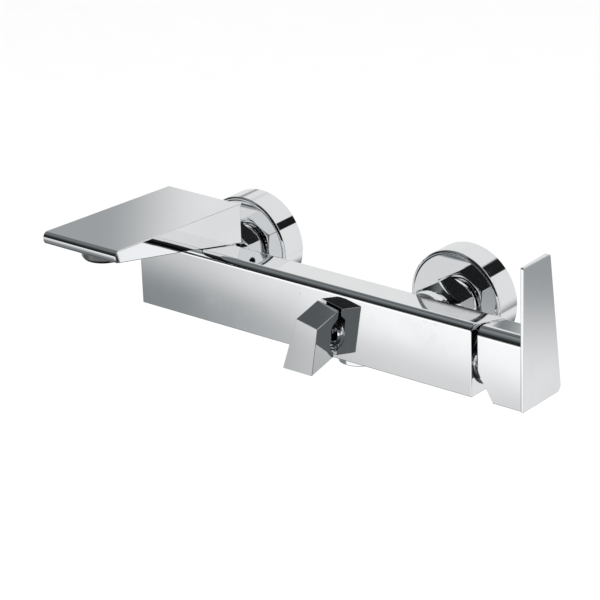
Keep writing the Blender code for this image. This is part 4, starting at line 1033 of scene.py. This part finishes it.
def floor():
    """A wide paper disc under the faucet, which the chrome doesn't show."""
    looks = bpy.context.scene.faucet_studio
    bm = bmesh.new()
    bmesh.ops.create_circle(bm, cap_ends=True, segments=96, radius=7.0)
    bmesh.ops.translate(bm, verts=bm.verts, vec=(0, 0, -looks.floor_drop))
    made = to_object(bm, "studio_floor")
    made.data.materials.append(finish_of("pale_paper", pale_paper))
    made.visible_glossy = False


def lamp():
    """A broad disc of light above and in front, aimed at the origin."""
    looks = bpy.context.scene.faucet_studio
    data = bpy.data.lights.new("soft_lamp", "AREA")
    data.shape = "DISK"
    data.size = 3.0
    data.energy = looks.lamp_power
    made = bpy.data.objects.new("soft_lamp", data)
    made.location = (0.6, -0.8, 3.2)
    made.rotation_euler = Vector(made.location).to_track_quat("Z", "Y").to_euler()
    made.visible_glossy = False
    bpy.context.scene.collection.objects.link(made)


def camera():
    """Looks down on the faucet from the lever's side."""
    turn, rise, roll = math.radians(39.31), math.radians(22.63), math.radians(-1.95)
    back = Vector((math.sin(turn) * math.cos(rise), -math.cos(turn) * math.cos(rise), math.sin(rise)))
    right = Vector((math.cos(turn), math.sin(turn), 0))
    up = back.cross(right)
    rolled_right = math.cos(roll) * right + math.sin(roll) * up
    rolled_up = -math.sin(roll) * right + math.cos(roll) * up
    data = bpy.data.cameras.new("camera")
    data.lens = 168.0
    data.sensor_width = 36.0
    data.shift_x, data.shift_y = -0.001, 0.002
    data.clip_start, data.clip_end = 0.05, 60.0
    made = bpy.data.objects.new("camera", data)
    bpy.context.scene.collection.objects.link(made)
    stand = Matrix.Translation(Vector((907.88, -1167.83, 595.17)) * MM)
    made.matrix_world = stand @ Matrix((rolled_right, rolled_up, back)).transposed().to_4x4()
    bpy.context.scene.camera = made


# ---------------------------------------------------------------- add-on


class FaucetFinish(bpy.types.PropertyGroup):
    """How the plating looks."""

    chrome_colour: FloatVectorProperty(
        name="Chrome colour", description="Colour of the plating seen straight on", subtype="COLOR",
        size=3, min=0, max=1, default=(0.90, 0.91, 0.92))
    chrome_roughness: FloatProperty(
        name="Chrome roughness", description="Blur of the cleanest parts of the plating", default=0.025,
        min=0, max=1)
    chrome_waviness: FloatProperty(
        name="Chrome waviness", description="Strength of the slow waves in the polished faces", default=0.03,
        min=0, max=1)


class FaucetSizes(bpy.types.PropertyGroup):
    """Sizes that change the look and not the fit."""

    edge_radius: FloatProperty(
        name="Edge radius", description="Rounding of the sharp edges of bar, spout and hub", default=0.0005,
        min=0.0001, max=0.001, unit="LENGTH", precision=5)
    flange_radius: FloatProperty(
        name="Flange radius", description="Outer radius of the wall flanges",
        default=frame["nodes"]["left_flange"].dimensions.x / 2, min=0.02, max=0.04, unit="LENGTH",
        precision=4)
    honeycomb_rows: IntProperty(
        name="Honeycomb rows", description="Rows of cells in the aerator's jet plate", default=13,
        min=5, max=31)


class FaucetStudio(bpy.types.PropertyGroup):
    """Light and floor."""

    fill: FloatProperty(
        name="Fill light", description="Even light from all round", default=0.95, min=0, max=5)
    lamp_power: FloatProperty(
        name="Lamp", description="Power of the soft overhead lamp", default=40.0, min=0, subtype="POWER")
    floor_drop: FloatProperty(
        name="Floor drop", description="Height of the origin over the floor", default=0.3, min=0.05, max=2,
        unit="LENGTH")


class FAUCET_OT_wall_side(bpy.types.Operator):
    """Build both wall flanges, connectors, union nuts and inlet tails"""

    bl_idname = "faucet.wall_side"
    bl_label = "Wall side"

    def execute(self, context):
        tree = helix_group()
        for side, x in zip(("left", "right"), INLET_XS):
            flange(side, x)
            eccentric(side, x, tree)
            union_nut(side, x)
            inlet_tail(side, x)
        return {"FINISHED"}


class FAUCET_OT_bar(bpy.types.Operator):
    """Build the hollow bar"""

    bl_idname = "faucet.bar"
    bl_label = "Bar"

    def execute(self, context):
        bar_shell()
        return {"FINISHED"}


class FAUCET_OT_spout(bpy.types.Operator):
    """Build the spout and its aerator"""

    bl_idname = "faucet.spout"
    bl_label = "Spout"

    def execute(self, context):
        spout_shell()
        aerator(honeycomb_group())
        return {"FINISHED"}


class FAUCET_OT_lever(bpy.types.Operator):
    """Build the lever handle and the collar behind it"""

    bl_idname = "faucet.lever"
    bl_label = "Lever"

    def execute(self, context):
        trim_collar()
        handle_shell()
        return {"FINISHED"}


class FAUCET_OT_diverter(bpy.types.Operator):
    """Build the diverter's bonnet and knob, and the shower outlet"""

    bl_idname = "faucet.diverter"
    bl_label = "Diverter and outlet"

    def execute(self, context):
        diverter_bonnet()
        knob_shell()
        outlet_ring()
        return {"FINISHED"}


class FAUCET_OT_inner(bpy.types.Operator):
    """Finish the pieces that are shown as the frame has them"""

    bl_idname = "faucet.inner"
    bl_label = "Inner pieces"

    def execute(self, context):
        carried_over()
        return {"FINISHED"}


class FAUCET_OT_studio(bpy.types.Operator):
    """Build the floor, the light and the camera"""

    bl_idname = "faucet.studio"
    bl_label = "Studio"

    def execute(self, context):
        surroundings()
        floor()
        lamp()
        camera()
        context.scene.view_settings.view_transform = "Standard"
        return {"FINISHED"}


PIECES = (FAUCET_OT_wall_side, FAUCET_OT_bar, FAUCET_OT_spout, FAUCET_OT_lever, FAUCET_OT_diverter,
          FAUCET_OT_inner, FAUCET_OT_studio)
GROUPS = {"faucet_finish": FaucetFinish, "faucet_sizes": FaucetSizes, "faucet_studio": FaucetStudio}


class FAUCET_PT_panel(bpy.types.Panel):
    """Lists the pieces in the order they are built, with their settings"""

    bl_idname = "FAUCET_PT_panel"
    bl_label = "Bath faucet"
    bl_space_type = "VIEW_3D"
    bl_region_type = "UI"
    bl_category = "Faucet"

    def draw(self, context):
        for name, group in GROUPS.items():
            box = self.layout.box()
            for key in group.__annotations__:
                box.prop(getattr(context.scene, name), key)
        for operator in PIECES:
            self.layout.operator(operator.bl_idname)


def register():
    for made in (*GROUPS.values(), *PIECES, FAUCET_PT_panel):
        bpy.utils.register_class(made)
    for name, group in GROUPS.items():
        setattr(bpy.types.Scene, name, PointerProperty(type=group))


def unregister():
    for name in GROUPS:
        delattr(bpy.types.Scene, name)
    for made in reversed((*GROUPS.values(), *PIECES, FAUCET_PT_panel)):
        bpy.utils.unregister_class(made)


def main():
    register()
    for operator in PIECES:
        group, name = operator.bl_idname.split(".")
        if getattr(getattr(bpy.ops, group), name)() != {"FINISHED"}:
            raise RuntimeError(f"{operator.bl_idname} did not finish")


if __name__ == "__main__":
    main()
